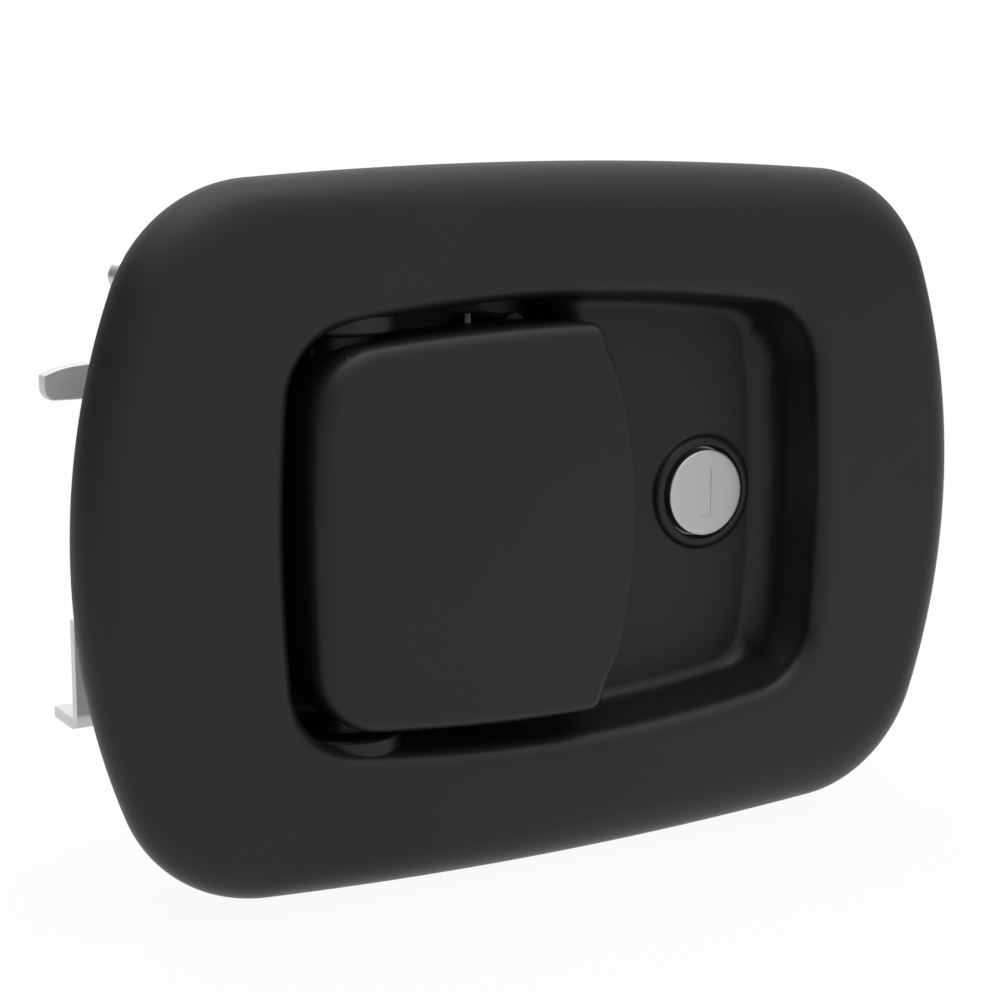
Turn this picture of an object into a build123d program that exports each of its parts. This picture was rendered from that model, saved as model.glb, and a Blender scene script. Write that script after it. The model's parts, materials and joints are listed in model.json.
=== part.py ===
"""Flush paddle latch with a key lock, for a vehicle or cabinet door.

Frame: millimetres, +X right, +Y into the panel, +Z up. The origin is the
middle of the flange's back face, which lies on the panel.
Pulling the right edge of the paddle turns it about an upright pin. A finger
behind the pin pushes a bell-crank lever, whose tongue pulls a rod or cable.
The key turns a crank that slides a bar under the tail of the lever.
"""

import os
from math import acos, atan2, cos, degrees, hypot, radians, sin, tan

from build123d import *

os.makedirs("parts", exist_ok=True)

# ---------------------------------------------------------------- dimensions
# flange: an outline of four shallow arcs with large corners
flange_half_width = 89.0
flange_half_height = 62.4
flange_side_radius = 122.0
flange_top_radius = 864.0
flange_corner_radius = 26.7
flange_edge_height = 4.9
flange_roll_radius = 4.4
flange_crown_height = 7.5
flange_lip = 6.0

# pan: the opening in the flange, a shallow scoop on the right and a deep
# pocket under the paddle
pan_left = -55.6
pan_right = 54.7
pan_half_height = 40.2
pan_side_radius = 284.0
pan_top_radius = 389.0
pan_corner_radius = 9.5
pan_rim_radius = 1.6
pan_wall = 2.6
scoop_depth = 7.0
scoop_draft = 4.2
scoop_floor_radius = 6.0
pocket_depth = 20.0
pocket_right = 13.6

# gasket and studs behind the flange
gasket_thickness = 3.0
gasket_band_side = 23.0
gasket_band_top = 10.9
gasket_inner_corner = 12.0
gasket_gap = 0.3
stud_radius = 3.0
stud_boss_radius = 6.0
stud_spacing_x = 144.0
stud_spacing_z = 88.0
stud_length = 18.0
stud_root = 1.0
stud_root_radius = 2.5
stud_chamfer = 0.7

# paddle
paddle_face = -9.3
paddle_left = -52.3
paddle_right = 12.3
paddle_half_height = 35.2
paddle_right_radius = 91.0
paddle_left_radius = 400.0
paddle_rear = 5.5
paddle_roll_radius = 8.0
paddle_edge_radius = 1.8
paddle_corner_radius = 8.0
paddle_tip_radius = 1.6
paddle_wall = 2.4
paddle_lip = 3.4
paddle_skirt_end = -4.0
paddle_lip_width = 7.0
paddle_rib_thickness = 1.6
paddle_rib_height = 3.0
paddle_rib_spacing = 15.0

# hinge
hinge_x = -39.0
hinge_y = 3.0
hinge_pin_radius = 2.5
hinge_boss_radius = 9.2
hinge_boss_face = 34.5
hinge_pad_face = 43.0
hinge_ear_radius = 5.2
hinge_end_play = 0.3
top_ear_bottom = 25.5
middle_ear_bottom = 6.0
middle_ear_top = 13.4
bottom_ear_top = -24.0
ear_web_limit = 30.0
ear_web_inset = 0.7
running_clearance = 0.04
pin_head_radius = 4.0
pin_head_height = 1.6
clip_thickness = 0.8
clip_radius = 4.2
pin_tail = 1.2
paddle_swing = 28.0

# mechanism plate, behind the pan
plate_front = 24.0
plate_thickness = 2.0
plate_left = -57.0
plate_right = 12.0
plate_half_height = 36.0
plate_corner_radius = 4.0
foot_left = -80.4
foot_right = -58.6
foot_bottom = -34.6
foot_top = -15.0
foot_depth = 11.8
foot_bend_radius = 3.0
slide_tab_right = 25.5
slide_tab_bottom = -18.0
slide_tab_top = 0.0
plate_ear_radius = 6.0
cable_hole_x = -68.0
cable_hole_radius = 3.1
post_radius = 4.5
post_places = [(-51.0, 42.0), (-51.0, -42.0), (4.0, 45.0), (4.0, -45.0)]
screw_radius = 1.8
screw_grip = 9.0
screw_head_radius = 3.7
screw_head_height = 2.4
screw_socket = 3.6
screw_recess_width = 0.9
plate_window_x = -12.0
plate_window_z = 14.0
plate_window_width = 22.0
plate_window_height = 24.0

# lever: one flat plate with a tongue, a driven arm and a tail
lever_gap = 0.5
lever_thickness = 3.0
lever_pivot_z = -8.2
lever_pivot_radius = 3.0
lever_hub_radius = 7.5
lever_swing = 22.4
lever_pivot_head_radius = 5.0
lever_pivot_head_height = 1.0
lever_washer_thickness = 0.45
lever_washer_radius = 6.5
lever_arm_width = 8.0
lever_arm_height = 42.0
lever_contact_gap = 0.3
tongue_nose_x = -83.7
tongue_bottom = 22.7
tongue_height = 6.0
tongue_nose_height = 3.9
tongue_rise = 0.35
tongue_elbow_x = -62.0
tongue_hole_x = -66.0
tongue_hole_radius = 2.0
tail_end_x = -9.0
tail_bottom = -7.0
tail_height = 4.0

# finger of the paddle, which pushes the driven arm
finger_bottom = 26.0
finger_height = 6.0
finger_width = 6.0
finger_reach = 31.0
finger_gusset = 12.0
slot_clearance = 1.2

# lock
lock_x = 37.5
lock_face = 5.0
lock_face_radius = 8.2
lock_face_gap = 0.5
lock_boss_base_radius = 10.8
lock_boss_top_radius = 9.4
lock_head_thickness = 2.6
lock_flange_thickness = 1.5
lock_barrel_radius = 7.0
lock_flat = 6.3
lock_seal_thickness = 0.5
lock_fit_gap = 0.1
lock_pad_depth = 12.0
lock_pad_radius = 12.0
lock_body_back = 23.0
plug_radius = 5.5
plug_play = 0.2
plug_tail_side = 6.0
keyway_width = 0.9
keyway_height = 8.2
keyway_foot = 2.0
keyway_depth = 15.0
keyway_offset = 0.5
lock_face_chamfer = 0.3
nut_radius = 11.0
nut_thickness = 3.2
wafer_thickness = 0.9
wafer_width = 6.0
wafer_height = 9.0
wafer_pitch = 1.6
wafer_count = 5

# lock cam and slide
cam_thickness = 2.0
cam_radius = 10.0
cam_pin_radius = 1.5
cam_hub_radius = 5.6
cam_end_radius = 3.4
cam_start_angle = 45.0
cam_screw_radius = 1.6
cam_screw_head_radius = 3.0
cam_screw_head_height = 1.6
cam_screw_grip = 4.0
slide_thickness = 2.0
slide_bottom = -14.0
slide_top = -3.7
slide_shoulder_x = 6.5
slide_right = 50.0
slide_nose_x = -0.9
slide_nose_bottom = -12.0
slide_nose_height = 4.0
slide_slot_gap = 0.35
slide_rivet_radius = 2.0
slide_rivet_head_radius = 3.2
slide_rivet_head_height = 0.8
slide_rivet_places = [(11.0, -8.8), (21.5, -8.8)]
slide_washer_radius = 4.2
washer_thickness = 0.8

# springs
spring_wire_radius = 0.6
bend_swell = 1.06
spring_coil_radius = 4.2
spring_pitch = 1.6
spring_turns = 3
spring_bottom = 15.8
spring_hook_x = -14.0
spring_hook_height = 1.0
spring_bend_radius = 1.6
spring_floor_leg = 14.0
lever_spring_radius = 6.2
lever_spring_turns = 2
lever_spring_pitch = 1.3
lever_spring_room = 4.6
spring_peg_x = -53.0
spring_peg_z = -22.0
spring_peg_radius = 1.5
spring_peg_overhang = 2.0
lever_spring_arm_x = -46.3
lever_spring_arm_z = 13.0

# rubber stops under the paddle
stop_x = -4.0
stop_z = 33.6
stop_pad_radius = 2.2
stop_pad_thickness = 2.0
stop_gap = 0.3

# ------------------------------------------------------- derived positions
scoop_back = scoop_depth + pan_wall
pocket_back = pocket_depth + pan_wall
plate_back = plate_front + plate_thickness
lever_front = plate_back + lever_gap
lever_back = lever_front + lever_thickness
lever_pivot_x = hinge_x + lever_contact_gap
slide_front = lever_front
slide_back = slide_front + slide_thickness
lock_body_front = lock_face + lock_head_thickness + plug_play
lock_ledge = lock_body_front + lock_flange_thickness + lock_seal_thickness
cam_front = lock_body_back + plug_play
cam_back = cam_front + cam_thickness
slide_travel = 2 * cam_radius * sin(radians(cam_start_angle))
cam_pin_x = lock_x + cam_radius * sin(radians(cam_start_angle))
cam_pin_z = -cam_radius * cos(radians(cam_start_angle))
cam_pin_end = slide_back + plug_play
ear_end = hinge_boss_face - hinge_end_play
ear_spans = [(top_ear_bottom, ear_end), (middle_ear_bottom, middle_ear_top), (-ear_end, bottom_ear_top)]
stop_pad_back = paddle_rear + stop_gap + stop_pad_thickness
finger_slot_left = hinge_x - finger_width - slot_clearance
finger_slot_right = hinge_x + (plate_back - hinge_y) * tan(radians(paddle_swing)) + slot_clearance
finger_slot_top = finger_bottom + finger_height + slot_clearance
finger_slot_bottom = finger_bottom - slot_clearance


def depth(y):
    """Plane parallel to the panel at depth y; its normal faces the user."""
    return Plane.XZ.offset(-y)


def bar(left, right, bottom, top):
    """Rectangle of the current sketch, from its four sides."""
    with Locations(((left + right) / 2, (bottom + top) / 2)):
        Rectangle(right - left, top - bottom)


def cut_bar(left, right, bottom, top):
    """Rectangular hole in the current sketch."""
    with Locations(((left + right) / 2, (bottom + top) / 2)):
        Rectangle(right - left, top - bottom, mode=Mode.SUBTRACT)


def ring(outer, inner, x, z, front, back):
    """Flat washer about an axis that points into the panel."""
    with BuildPart() as washer:
        with BuildSketch(depth(back)):
            with Locations((x, z)):
                Circle(outer)
                Circle(inner, mode=Mode.SUBTRACT)
        extrude(amount=back - front)
    return washer.part


def disc(radius, x, z, front, back):
    """Round bar about an axis that points into the panel."""
    with BuildPart() as rod:
        with BuildSketch(depth(back)):
            with Locations((x, z)):
                Circle(radius)
        extrude(amount=back - front)
    return rod.part


def tangent_angle(centre, target, radius, side):
    """Angle in degrees at which a straight wire to target leaves a coil."""
    across, along = target[0] - centre[0], target[1] - centre[1]
    return degrees(atan2(along, across)) + side * degrees(acos(radius / hypot(across, along)))


def straight_wire(start, end, radius):
    """One straight run of spring wire with a round start."""
    with BuildPart() as run:
        with BuildLine() as path:
            Line(start, end)
        with BuildSketch(Plane(origin=start, z_dir=path.line % 0)):
            Circle(radius)
        sweep()
        with Locations(start):
            Sphere(radius * bend_swell)
    return run.part


def arched_outline(left, right, half_height, left_radius, right_radius, top_radius, left_corner, right_corner):
    """Four shallow arcs that bulge outwards, with rounded corners."""
    with BuildSketch() as outline:
        with Locations((left + left_radius, 0)):
            Circle(left_radius)
        with Locations((right - right_radius, 0)):
            Circle(right_radius, mode=Mode.INTERSECT)
        with Locations((0, half_height - top_radius)):
            Circle(top_radius, mode=Mode.INTERSECT)
        with Locations((0, top_radius - half_height)):
            Circle(top_radius, mode=Mode.INTERSECT)
        corners = outline.vertices().group_by(Axis.X)
        fillet(corners[0], left_corner)
        corners = outline.vertices().group_by(Axis.X)
        fillet(corners[-1], right_corner)
    return outline.sketch


def flange_outline(inset=0.0):
    """Outline of the flange, moved inwards by inset."""
    return arched_outline(
        inset - flange_half_width,
        flange_half_width - inset,
        flange_half_height - inset,
        flange_side_radius - inset,
        flange_side_radius - inset,
        flange_top_radius - inset,
        flange_corner_radius - inset,
        flange_corner_radius - inset,
    )


def pan_outline(inset=0.0):
    """Outline of the pan's opening, moved inwards by inset."""
    corner = max(pan_corner_radius - inset, 6.0)
    return arched_outline(
        pan_left + inset,
        pan_right - inset,
        pan_half_height - inset,
        pan_side_radius - inset,
        pan_side_radius - inset,
        pan_top_radius - inset,
        corner,
        corner,
    )


def pocket_outline(inset=0.0):
    """Left part of the pan, closed on the right by an arc like the paddle's."""
    with BuildSketch() as outline:
        add(pan_outline(inset))
        with Locations((pocket_right - inset - paddle_right_radius, 0)):
            Circle(paddle_right_radius, mode=Mode.INTERSECT)
    return outline.sketch


def gasket_hole():
    """Hole in the gasket, which clears everything that goes through the panel."""
    return arched_outline(
        gasket_band_side - flange_half_width,
        flange_half_width - gasket_band_side,
        flange_half_height - gasket_band_top,
        flange_side_radius,
        flange_side_radius,
        flange_top_radius,
        gasket_inner_corner,
        gasket_inner_corner,
    )


# ------------------------------------------------------------------- housing
with BuildPart() as scoop_room:
    with BuildSketch(depth(-flange_crown_height)):
        add(pan_outline())
    with BuildSketch(depth(scoop_depth)):
        add(pan_outline(scoop_draft))
    loft()
    fillet(scoop_room.faces().sort_by(Axis.Y)[-1].edges(), scoop_floor_radius)

with BuildPart() as pocket_room:
    with BuildSketch(depth(pocket_depth)):
        add(pocket_outline())
    extrude(amount=pocket_depth + flange_crown_height)

with BuildPart() as housing:
    # flange: an upright edge, then a crown that rises to the pan
    with BuildSketch(depth(0)):
        add(flange_outline())
    extrude(amount=flange_edge_height)
    with BuildSketch(depth(-flange_edge_height)):
        add(flange_outline())
    with BuildSketch(depth(-flange_crown_height)):
        add(pan_outline(-pan_wall))
    loft()
    low, high = -flange_edge_height - 0.01, -flange_edge_height + 0.01
    fillet(housing.edges().filter_by_position(Axis.Y, low, high), flange_roll_radius)
    # recess for the gasket
    with BuildSketch(depth(0)):
        add(flange_outline(flange_lip))
    extrude(amount=gasket_thickness, mode=Mode.SUBTRACT)
    # walls of the shallow scoop and of the deep pocket
    with BuildSketch(depth(scoop_back)):
        add(pan_outline(-pan_wall))
    extrude(amount=scoop_back + gasket_thickness)
    with BuildSketch(depth(pocket_back)):
        add(pocket_outline(-pan_wall))
    extrude(amount=pocket_back + gasket_thickness)
    # posts that carry the mechanism plate
    with BuildSketch(depth(plate_front)):
        with Locations(*post_places):
            Circle(post_radius)
    extrude(amount=plate_front + gasket_thickness)
    # bosses round the mounting studs
    with BuildSketch(depth(0)):
        with GridLocations(stud_spacing_x, stud_spacing_z, 2, 2):
            Circle(stud_boss_radius)
    extrude(amount=gasket_thickness)
    # pad behind the lock, and pads outside the hinge
    add(disc(lock_pad_radius, lock_x, 0, scoop_depth + 1, lock_pad_depth))
    with BuildSketch(Plane.XY.offset(-hinge_pad_face)):
        with Locations((hinge_x, hinge_y)):
            Circle(hinge_boss_radius)
    extrude(amount=2 * hinge_pad_face)
    # the room inside
    add(scoop_room.part, mode=Mode.SUBTRACT)
    rim = housing.faces().filter_by(Axis.Y).sort_by(Axis.Y)[0]
    fillet(rim.inner_wires()[0].edges(), pan_rim_radius)
    add(pocket_room.part, mode=Mode.SUBTRACT)
    # raised ring round the lock
    with BuildSketch(depth(scoop_depth)):
        with Locations((lock_x, 0)):
            Circle(lock_boss_base_radius)
    with BuildSketch(depth(lock_face)):
        with Locations((lock_x, 0)):
            Circle(lock_boss_top_radius)
    loft()
    # hinge bosses inside the top and bottom walls
    for side in (1, -1):
        with BuildSketch(Plane.XY.offset(side * hinge_boss_face)):
            with Locations((hinge_x, hinge_y)):
                Circle(hinge_boss_radius)
        extrude(amount=side * (hinge_pad_face - hinge_boss_face))
    # ledges that carry the rubber stops
    for side in (1, -1):
        with BuildSketch(depth(pocket_depth + 1)):
            with Locations((stop_x, side * (stop_z + stop_pad_radius))):
                Rectangle(2 * stop_pad_radius + 1, 4 * stop_pad_radius + 1)
        extrude(amount=pocket_depth + 1 - stop_pad_back)
    # holes for the hinge pin, the lock, the studs and the plate screws
    with Locations((hinge_x, hinge_y, 0)):
        Cylinder(hinge_pin_radius, 2 * hinge_pad_face + 1, mode=Mode.SUBTRACT)
    add(disc(lock_face_radius + lock_face_gap, lock_x, 0, 0, lock_ledge), mode=Mode.SUBTRACT)
    with BuildSketch(depth(lock_pad_depth)):
        with Locations((lock_x, 0)):
            Circle(lock_barrel_radius + lock_fit_gap)
            Rectangle(2 * (lock_flat + lock_fit_gap), 4 * lock_barrel_radius, mode=Mode.INTERSECT)
    extrude(amount=lock_pad_depth - lock_ledge, mode=Mode.SUBTRACT)
    with BuildSketch(depth(0)):
        with GridLocations(stud_spacing_x, stud_spacing_z, 2, 2):
            Circle(stud_root_radius)
    extrude(amount=gasket_thickness + stud_root, mode=Mode.SUBTRACT)
    with BuildSketch(depth(plate_front)):
        with Locations(*post_places):
            Circle(screw_radius)
    extrude(amount=screw_grip, mode=Mode.SUBTRACT)
    # slot in the pocket's floor for the finger
    with BuildSketch(depth(pocket_back)):
        bar(finger_slot_left, finger_slot_right, finger_slot_bottom, finger_slot_top)
    extrude(amount=2 * pan_wall, mode=Mode.SUBTRACT)
housing.part.label = "housing"
export_step(housing.part, "parts/housing.step")

# ------------------------------------------------------- gasket and studs
with BuildPart() as gasket:
    with BuildSketch(depth(0)):
        add(flange_outline(flange_lip + gasket_gap))
        add(gasket_hole(), mode=Mode.SUBTRACT)
        with GridLocations(stud_spacing_x, stud_spacing_z, 2, 2):
            Circle(stud_boss_radius + gasket_gap, mode=Mode.SUBTRACT)
    extrude(amount=gasket_thickness)
gasket.part.label = "gasket"
export_step(gasket.part, "parts/gasket.step")

with BuildPart() as mounting_studs:
    with BuildSketch(depth(stud_length)):
        with GridLocations(stud_spacing_x, stud_spacing_z, 2, 2):
            Circle(stud_radius)
    extrude(amount=stud_length)
    # the root that is pressed into the boss
    with BuildSketch(depth(0)):
        with GridLocations(stud_spacing_x, stud_spacing_z, 2, 2):
            Circle(stud_root_radius)
    extrude(amount=gasket_thickness + stud_root)
    chamfer(mounting_studs.faces().filter_by(Axis.Y).group_by(Axis.Y)[-1].edges(), stud_chamfer)
mounting_studs.part.label = "mounting_studs"
export_step(mounting_studs.part, "parts/mounting_studs.step")


# ------------------------------------------------------------------- paddle
def paddle_form(inset, rear):
    """The paddle's rounded block, moved inwards by inset, cut off at rear."""
    face = paddle_face + inset
    left = paddle_left + inset
    right = paddle_right - inset
    with BuildPart() as form:
        with BuildSketch(depth(rear)):
            add(
                arched_outline(
                    left,
                    right,
                    paddle_half_height - inset,
                    paddle_left_radius,
                    paddle_right_radius,
                    pan_top_radius,
                    paddle_corner_radius,
                    paddle_tip_radius,
                )
            )
        extrude(amount=rear - face)
        front = form.faces().sort_by(Axis.Y)[0]
        long_edges = front.edges().sort_by(SortBy.LENGTH)[-3:]
        level_edges = long_edges.filter_by(lambda edge: abs(edge.center().Z) > 1)
        fillet(level_edges, paddle_edge_radius)
        with BuildSketch(Plane.XY):
            with BuildLine():
                FilletPolyline((left, rear), (left, face), (right, face), radius=paddle_roll_radius - inset)
                Polyline((right, face), (right, rear), (left, rear))
            make_face()
        extrude(amount=paddle_half_height, both=True, mode=Mode.INTERSECT)
    return form.part


with BuildPart() as paddle:
    add(paddle_form(0, paddle_rear))
    # the skirts rise towards the pulled edge
    with BuildSketch(Plane.XY):
        lip_back = paddle_face + paddle_lip
        with BuildLine():
            Polyline(
                (paddle_skirt_end, paddle_rear),
                (paddle_right - paddle_lip_width, lip_back),
                (paddle_right + 1, lip_back),
                (paddle_right + 1, paddle_rear + 1),
                (paddle_skirt_end, paddle_rear + 1),
                (paddle_skirt_end, paddle_rear),
            )
        make_face()
    extrude(amount=paddle_half_height + 1, both=True, mode=Mode.SUBTRACT)
    add(paddle_form(paddle_wall, paddle_rear + 1), mode=Mode.SUBTRACT)
    # ribs behind the face
    rib_back = paddle_face + paddle_wall + paddle_rib_height
    with BuildSketch(depth(rib_back)):
        with GridLocations(0, paddle_rib_spacing, 1, 3):
            bar(hinge_x, paddle_right - paddle_lip_width, -paddle_rib_thickness / 2, paddle_rib_thickness / 2)
    extrude(amount=paddle_rib_height + paddle_wall / 2)
    # hinge ears, with webs up to the face
    web_left = hinge_x - hinge_ear_radius + ear_web_inset
    web_right = hinge_x + hinge_ear_radius - ear_web_inset
    for start, end in ear_spans:
        with BuildSketch(Plane.XY.offset(start)):
            with Locations((hinge_x, hinge_y)):
                Circle(hinge_ear_radius)
        extrude(amount=end - start)
        web_start, web_end = max(start, -ear_web_limit), min(end, ear_web_limit)
        with BuildSketch(Plane.XY.offset(web_start)):
            bar(web_left, web_right, paddle_face + paddle_wall / 2, hinge_y)
        extrude(amount=web_end - web_start)
    # finger behind the hinge, with a gusset at its root
    with BuildSketch(Plane.XY.offset(finger_bottom)):
        with BuildLine():
            Polyline(
                (hinge_x - finger_width, hinge_y),
                (hinge_x - finger_width, hinge_y + finger_reach),
                (hinge_x, hinge_y + finger_reach),
                (hinge_x, hinge_y + finger_gusset),
                (web_right, hinge_y),
                (hinge_x - finger_width, hinge_y),
            )
        make_face()
    extrude(amount=finger_height)
    with Locations((hinge_x, hinge_y, 0)):
        Cylinder(hinge_pin_radius + running_clearance, 4 * hinge_boss_face, mode=Mode.SUBTRACT)
    # notch for the hooked end of the spring
    with Locations((spring_hook_x, paddle_rear, paddle_half_height)):
        Box(4 * spring_wire_radius, 6 * spring_wire_radius, 4 * paddle_wall, mode=Mode.SUBTRACT)
paddle.part.label = "paddle"
export_step(paddle.part, "parts/paddle.step")

# ------------------------------------------------------- hinge pin and clip
clip_end = -hinge_pad_face - clip_thickness
with BuildPart() as hinge_pin:
    with BuildSketch(Plane.XY.offset(clip_end - pin_tail)):
        with Locations((hinge_x, hinge_y)):
            Circle(hinge_pin_radius)
    extrude(amount=hinge_pad_face + pin_head_height / 2 - clip_end + pin_tail)
    with BuildSketch(Plane.XY.offset(hinge_pad_face)):
        with Locations((hinge_x, hinge_y)):
            Circle(pin_head_radius)
    extrude(amount=pin_head_height)
    fillet(hinge_pin.edges().sort_by(Axis.Z)[-1], pin_head_height / 3)
    chamfer(hinge_pin.edges().sort_by(Axis.Z)[0], pin_tail / 3)
hinge_pin.part.label = "hinge_pin"
export_step(hinge_pin.part, "parts/hinge_pin.step")

with BuildPart() as hinge_clip:
    with BuildSketch(Plane.XY.offset(clip_end)):
        with Locations((hinge_x, hinge_y)):
            Circle(clip_radius)
            Circle(hinge_pin_radius, mode=Mode.SUBTRACT)
        with Locations((hinge_x, hinge_y + clip_radius)):
            Rectangle(hinge_pin_radius, 2 * clip_radius, mode=Mode.SUBTRACT)
    extrude(amount=clip_thickness)
hinge_clip.part.label = "hinge_clip"
export_step(hinge_clip.part, "parts/hinge_clip.step")

# ---------------------------------------------------------- paddle spring
# one wire: a leg on the pocket's floor, the coil on the pin, a leg along the
# paddle and a hooked end; both legs leave the coil along its own slope
hook_y = paddle_rear - spring_wire_radius
floor_y = pocket_depth - 2 * spring_wire_radius
foot_place = (hinge_x + spring_floor_leg, floor_y)
knee_place = (spring_hook_x, hook_y)
start_angle = tangent_angle((hinge_x, hinge_y), foot_place, spring_coil_radius, 1)
end_angle = tangent_angle((hinge_x, hinge_y), knee_place, spring_coil_radius, -1)
spring_height = (spring_turns + (end_angle - start_angle) % 360 / 360) * spring_pitch
coil_plane = Plane(
    origin=(hinge_x, hinge_y, spring_bottom),
    x_dir=(cos(radians(start_angle)), sin(radians(start_angle)), 0),
    z_dir=(0, 0, 1),
)
coil = coil_plane * Helix(spring_pitch, spring_height, spring_coil_radius)


def leg_end(start, direction, place):
    """Where a straight leg along direction passes over a place in plan."""
    across = hypot(place[0] - start.X, place[1] - start.Y)
    return start + direction * (across / hypot(direction.X, direction.Y))


foot = leg_end(coil @ 0, -(coil % 0), foot_place)
knee = leg_end(coil @ 1, coil % 1, knee_place)
hook = (knee.X, knee.Y, paddle_half_height + spring_hook_height)
with BuildPart() as paddle_spring:
    with BuildLine() as spring_path:
        Line(foot, coil @ 0)
        add(coil)
        FilletPolyline(coil @ 1, knee, hook, radius=spring_bend_radius)
    with BuildSketch(Plane(origin=foot, z_dir=coil % 0)):
        Circle(spring_wire_radius)
    sweep(path=spring_path.line)
paddle_spring.part.label = "paddle_spring"
export_step(paddle_spring.part, "parts/paddle_spring.step")

# ------------------------------------------------------------- rubber stops
with BuildPart() as stop_pads:
    for side in (1, -1):
        add(disc(stop_pad_radius, stop_x, side * stop_z, paddle_rear + stop_gap, stop_pad_back))
stop_pads.part.label = "stop_pads"
export_step(stop_pads.part, "parts/stop_pads.step")

# --------------------------------------------------------- mechanism plate
with BuildPart() as mechanism_plate:
    with BuildSketch(depth(plate_back)):
        bar(plate_left, plate_right, -plate_half_height, plate_half_height)
        bar(foot_left, plate_left + plate_corner_radius, foot_bottom, foot_top)
        bar(plate_right - plate_corner_radius, slide_tab_right, slide_tab_bottom, slide_tab_top)
        for x, z in post_places:
            side = 1 if z > 0 else -1
            with Locations((x, z)):
                Circle(plate_ear_radius)
            with Locations((x, side * plate_half_height)):
                Rectangle(2 * plate_ear_radius, 2 * (abs(z) - plate_half_height))
        with Locations(*post_places):
            Circle(screw_radius, mode=Mode.SUBTRACT)
        with Locations((lever_pivot_x, lever_pivot_z)):
            Circle(lever_pivot_radius, mode=Mode.SUBTRACT)
        with Locations(*slide_rivet_places):
            Circle(slide_rivet_radius, mode=Mode.SUBTRACT)
        cut_bar(finger_slot_left, finger_slot_right, finger_slot_bottom, finger_slot_top)
        with Locations((plate_window_x, plate_window_z)):
            RectangleRounded(plate_window_width, plate_window_height, plate_corner_radius, mode=Mode.SUBTRACT)
    extrude(amount=plate_thickness)
    # foot, bent back from the lower left ear
    with BuildSketch(depth(plate_front + foot_depth)):
        bar(foot_left, foot_right, foot_bottom, foot_bottom + plate_thickness)
    extrude(amount=foot_depth)
    bend = mechanism_plate.edges().filter_by(Axis.X)
    outer_bend = bend.sort_by(lambda edge: abs(edge.center().Y - plate_front) + abs(edge.center().Z - foot_bottom))[0]
    fillet(outer_bend, foot_bend_radius)
    cable_hole_y = plate_front + foot_depth / 2
    with BuildSketch(Plane.XY.offset(foot_bottom)):
        with Locations((cable_hole_x, cable_hole_y)):
            Circle(cable_hole_radius)
    extrude(amount=plate_thickness, mode=Mode.SUBTRACT)
    # peg that holds the lever's spring
    add(disc(spring_peg_radius, spring_peg_x, spring_peg_z, plate_front, lever_back + lever_spring_room))
mechanism_plate.part.label = "mechanism_plate"
export_step(mechanism_plate.part, "parts/mechanism_plate.step")

with BuildPart() as plate_screws:
    with BuildSketch(depth(plate_back + screw_head_height)):
        with Locations(*post_places):
            Circle(screw_head_radius)
    extrude(amount=screw_head_height)
    fillet(plate_screws.faces().filter_by(Axis.Y).group_by(Axis.Y)[-1].edges(), screw_head_height / 3)
    with BuildSketch(depth(plate_back + screw_head_height)):
        for x, z in post_places:
            with Locations((x, z)):
                Rectangle(screw_socket, screw_recess_width)
                Rectangle(screw_recess_width, screw_socket)
    extrude(amount=screw_head_height / 2, mode=Mode.SUBTRACT)
    with BuildSketch(depth(plate_back)):
        with Locations(*post_places):
            Circle(screw_radius)
    extrude(amount=plate_thickness + screw_grip - 1)
plate_screws.part.label = "plate_screws"
export_step(plate_screws.part, "parts/plate_screws.step")

# --------------------------------------------------------------------- lever
with BuildPart() as lever:
    with BuildSketch(depth(lever_back)):
        # tapered arm from the hub to the elbow
        with BuildSketch(mode=Mode.PRIVATE) as arm:
            with Locations((lever_pivot_x, lever_pivot_z)):
                Circle(lever_hub_radius)
            with Locations((tongue_elbow_x, tongue_bottom + tongue_height / 2)):
                Circle(tongue_height / 2)
            make_hull()
        add(arm.sketch)
        # tongue with a rounded nose and an arched top
        nose_radius = tongue_nose_height / 2
        nose_x = tongue_nose_x + nose_radius
        tongue_top = tongue_bottom + tongue_height
        with BuildLine():
            nose_bottom = (nose_x, tongue_bottom)
            nose_top = (nose_x, tongue_bottom + tongue_nose_height)
            ThreePointArc(nose_bottom, (tongue_nose_x, tongue_bottom + nose_radius), nose_top)
            TangentArc(nose_top, (tongue_elbow_x, tongue_top), tangent=(1, tongue_rise))
            Polyline((tongue_elbow_x, tongue_top), (tongue_elbow_x, tongue_bottom), nose_bottom)
        make_face()
        bar(lever_pivot_x, lever_pivot_x + lever_arm_width, lever_pivot_z, lever_pivot_z + lever_arm_height)
        bar(lever_pivot_x, tail_end_x, tail_bottom, tail_bottom + tail_height)
        with Locations((lever_pivot_x, lever_pivot_z)):
            Circle(lever_pivot_radius + running_clearance, mode=Mode.SUBTRACT)
        with Locations((tongue_hole_x, tongue_bottom + tongue_height / 2)):
            Circle(tongue_hole_radius, mode=Mode.SUBTRACT)
    extrude(amount=lever_thickness)
lever.part.label = "lever"
export_step(lever.part, "parts/lever.step")

pivot_end = lever_back + lever_spring_room + clip_thickness + lever_gap
with BuildPart() as lever_pivot:
    add(disc(lever_pivot_radius, lever_pivot_x, lever_pivot_z, plate_front, pivot_end))
    head_front = plate_front - lever_pivot_head_height
    add(disc(lever_pivot_head_radius, lever_pivot_x, lever_pivot_z, head_front, plate_front))
lever_pivot.part.label = "lever_pivot"
export_step(lever_pivot.part, "parts/lever_pivot.step")

with BuildPart() as lever_washer:
    washer_back = plate_back + lever_washer_thickness
    add(ring(lever_washer_radius, lever_pivot_radius, lever_pivot_x, lever_pivot_z, plate_back, washer_back))
lever_washer.part.label = "lever_washer"
export_step(lever_washer.part, "parts/lever_washer.step")

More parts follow.
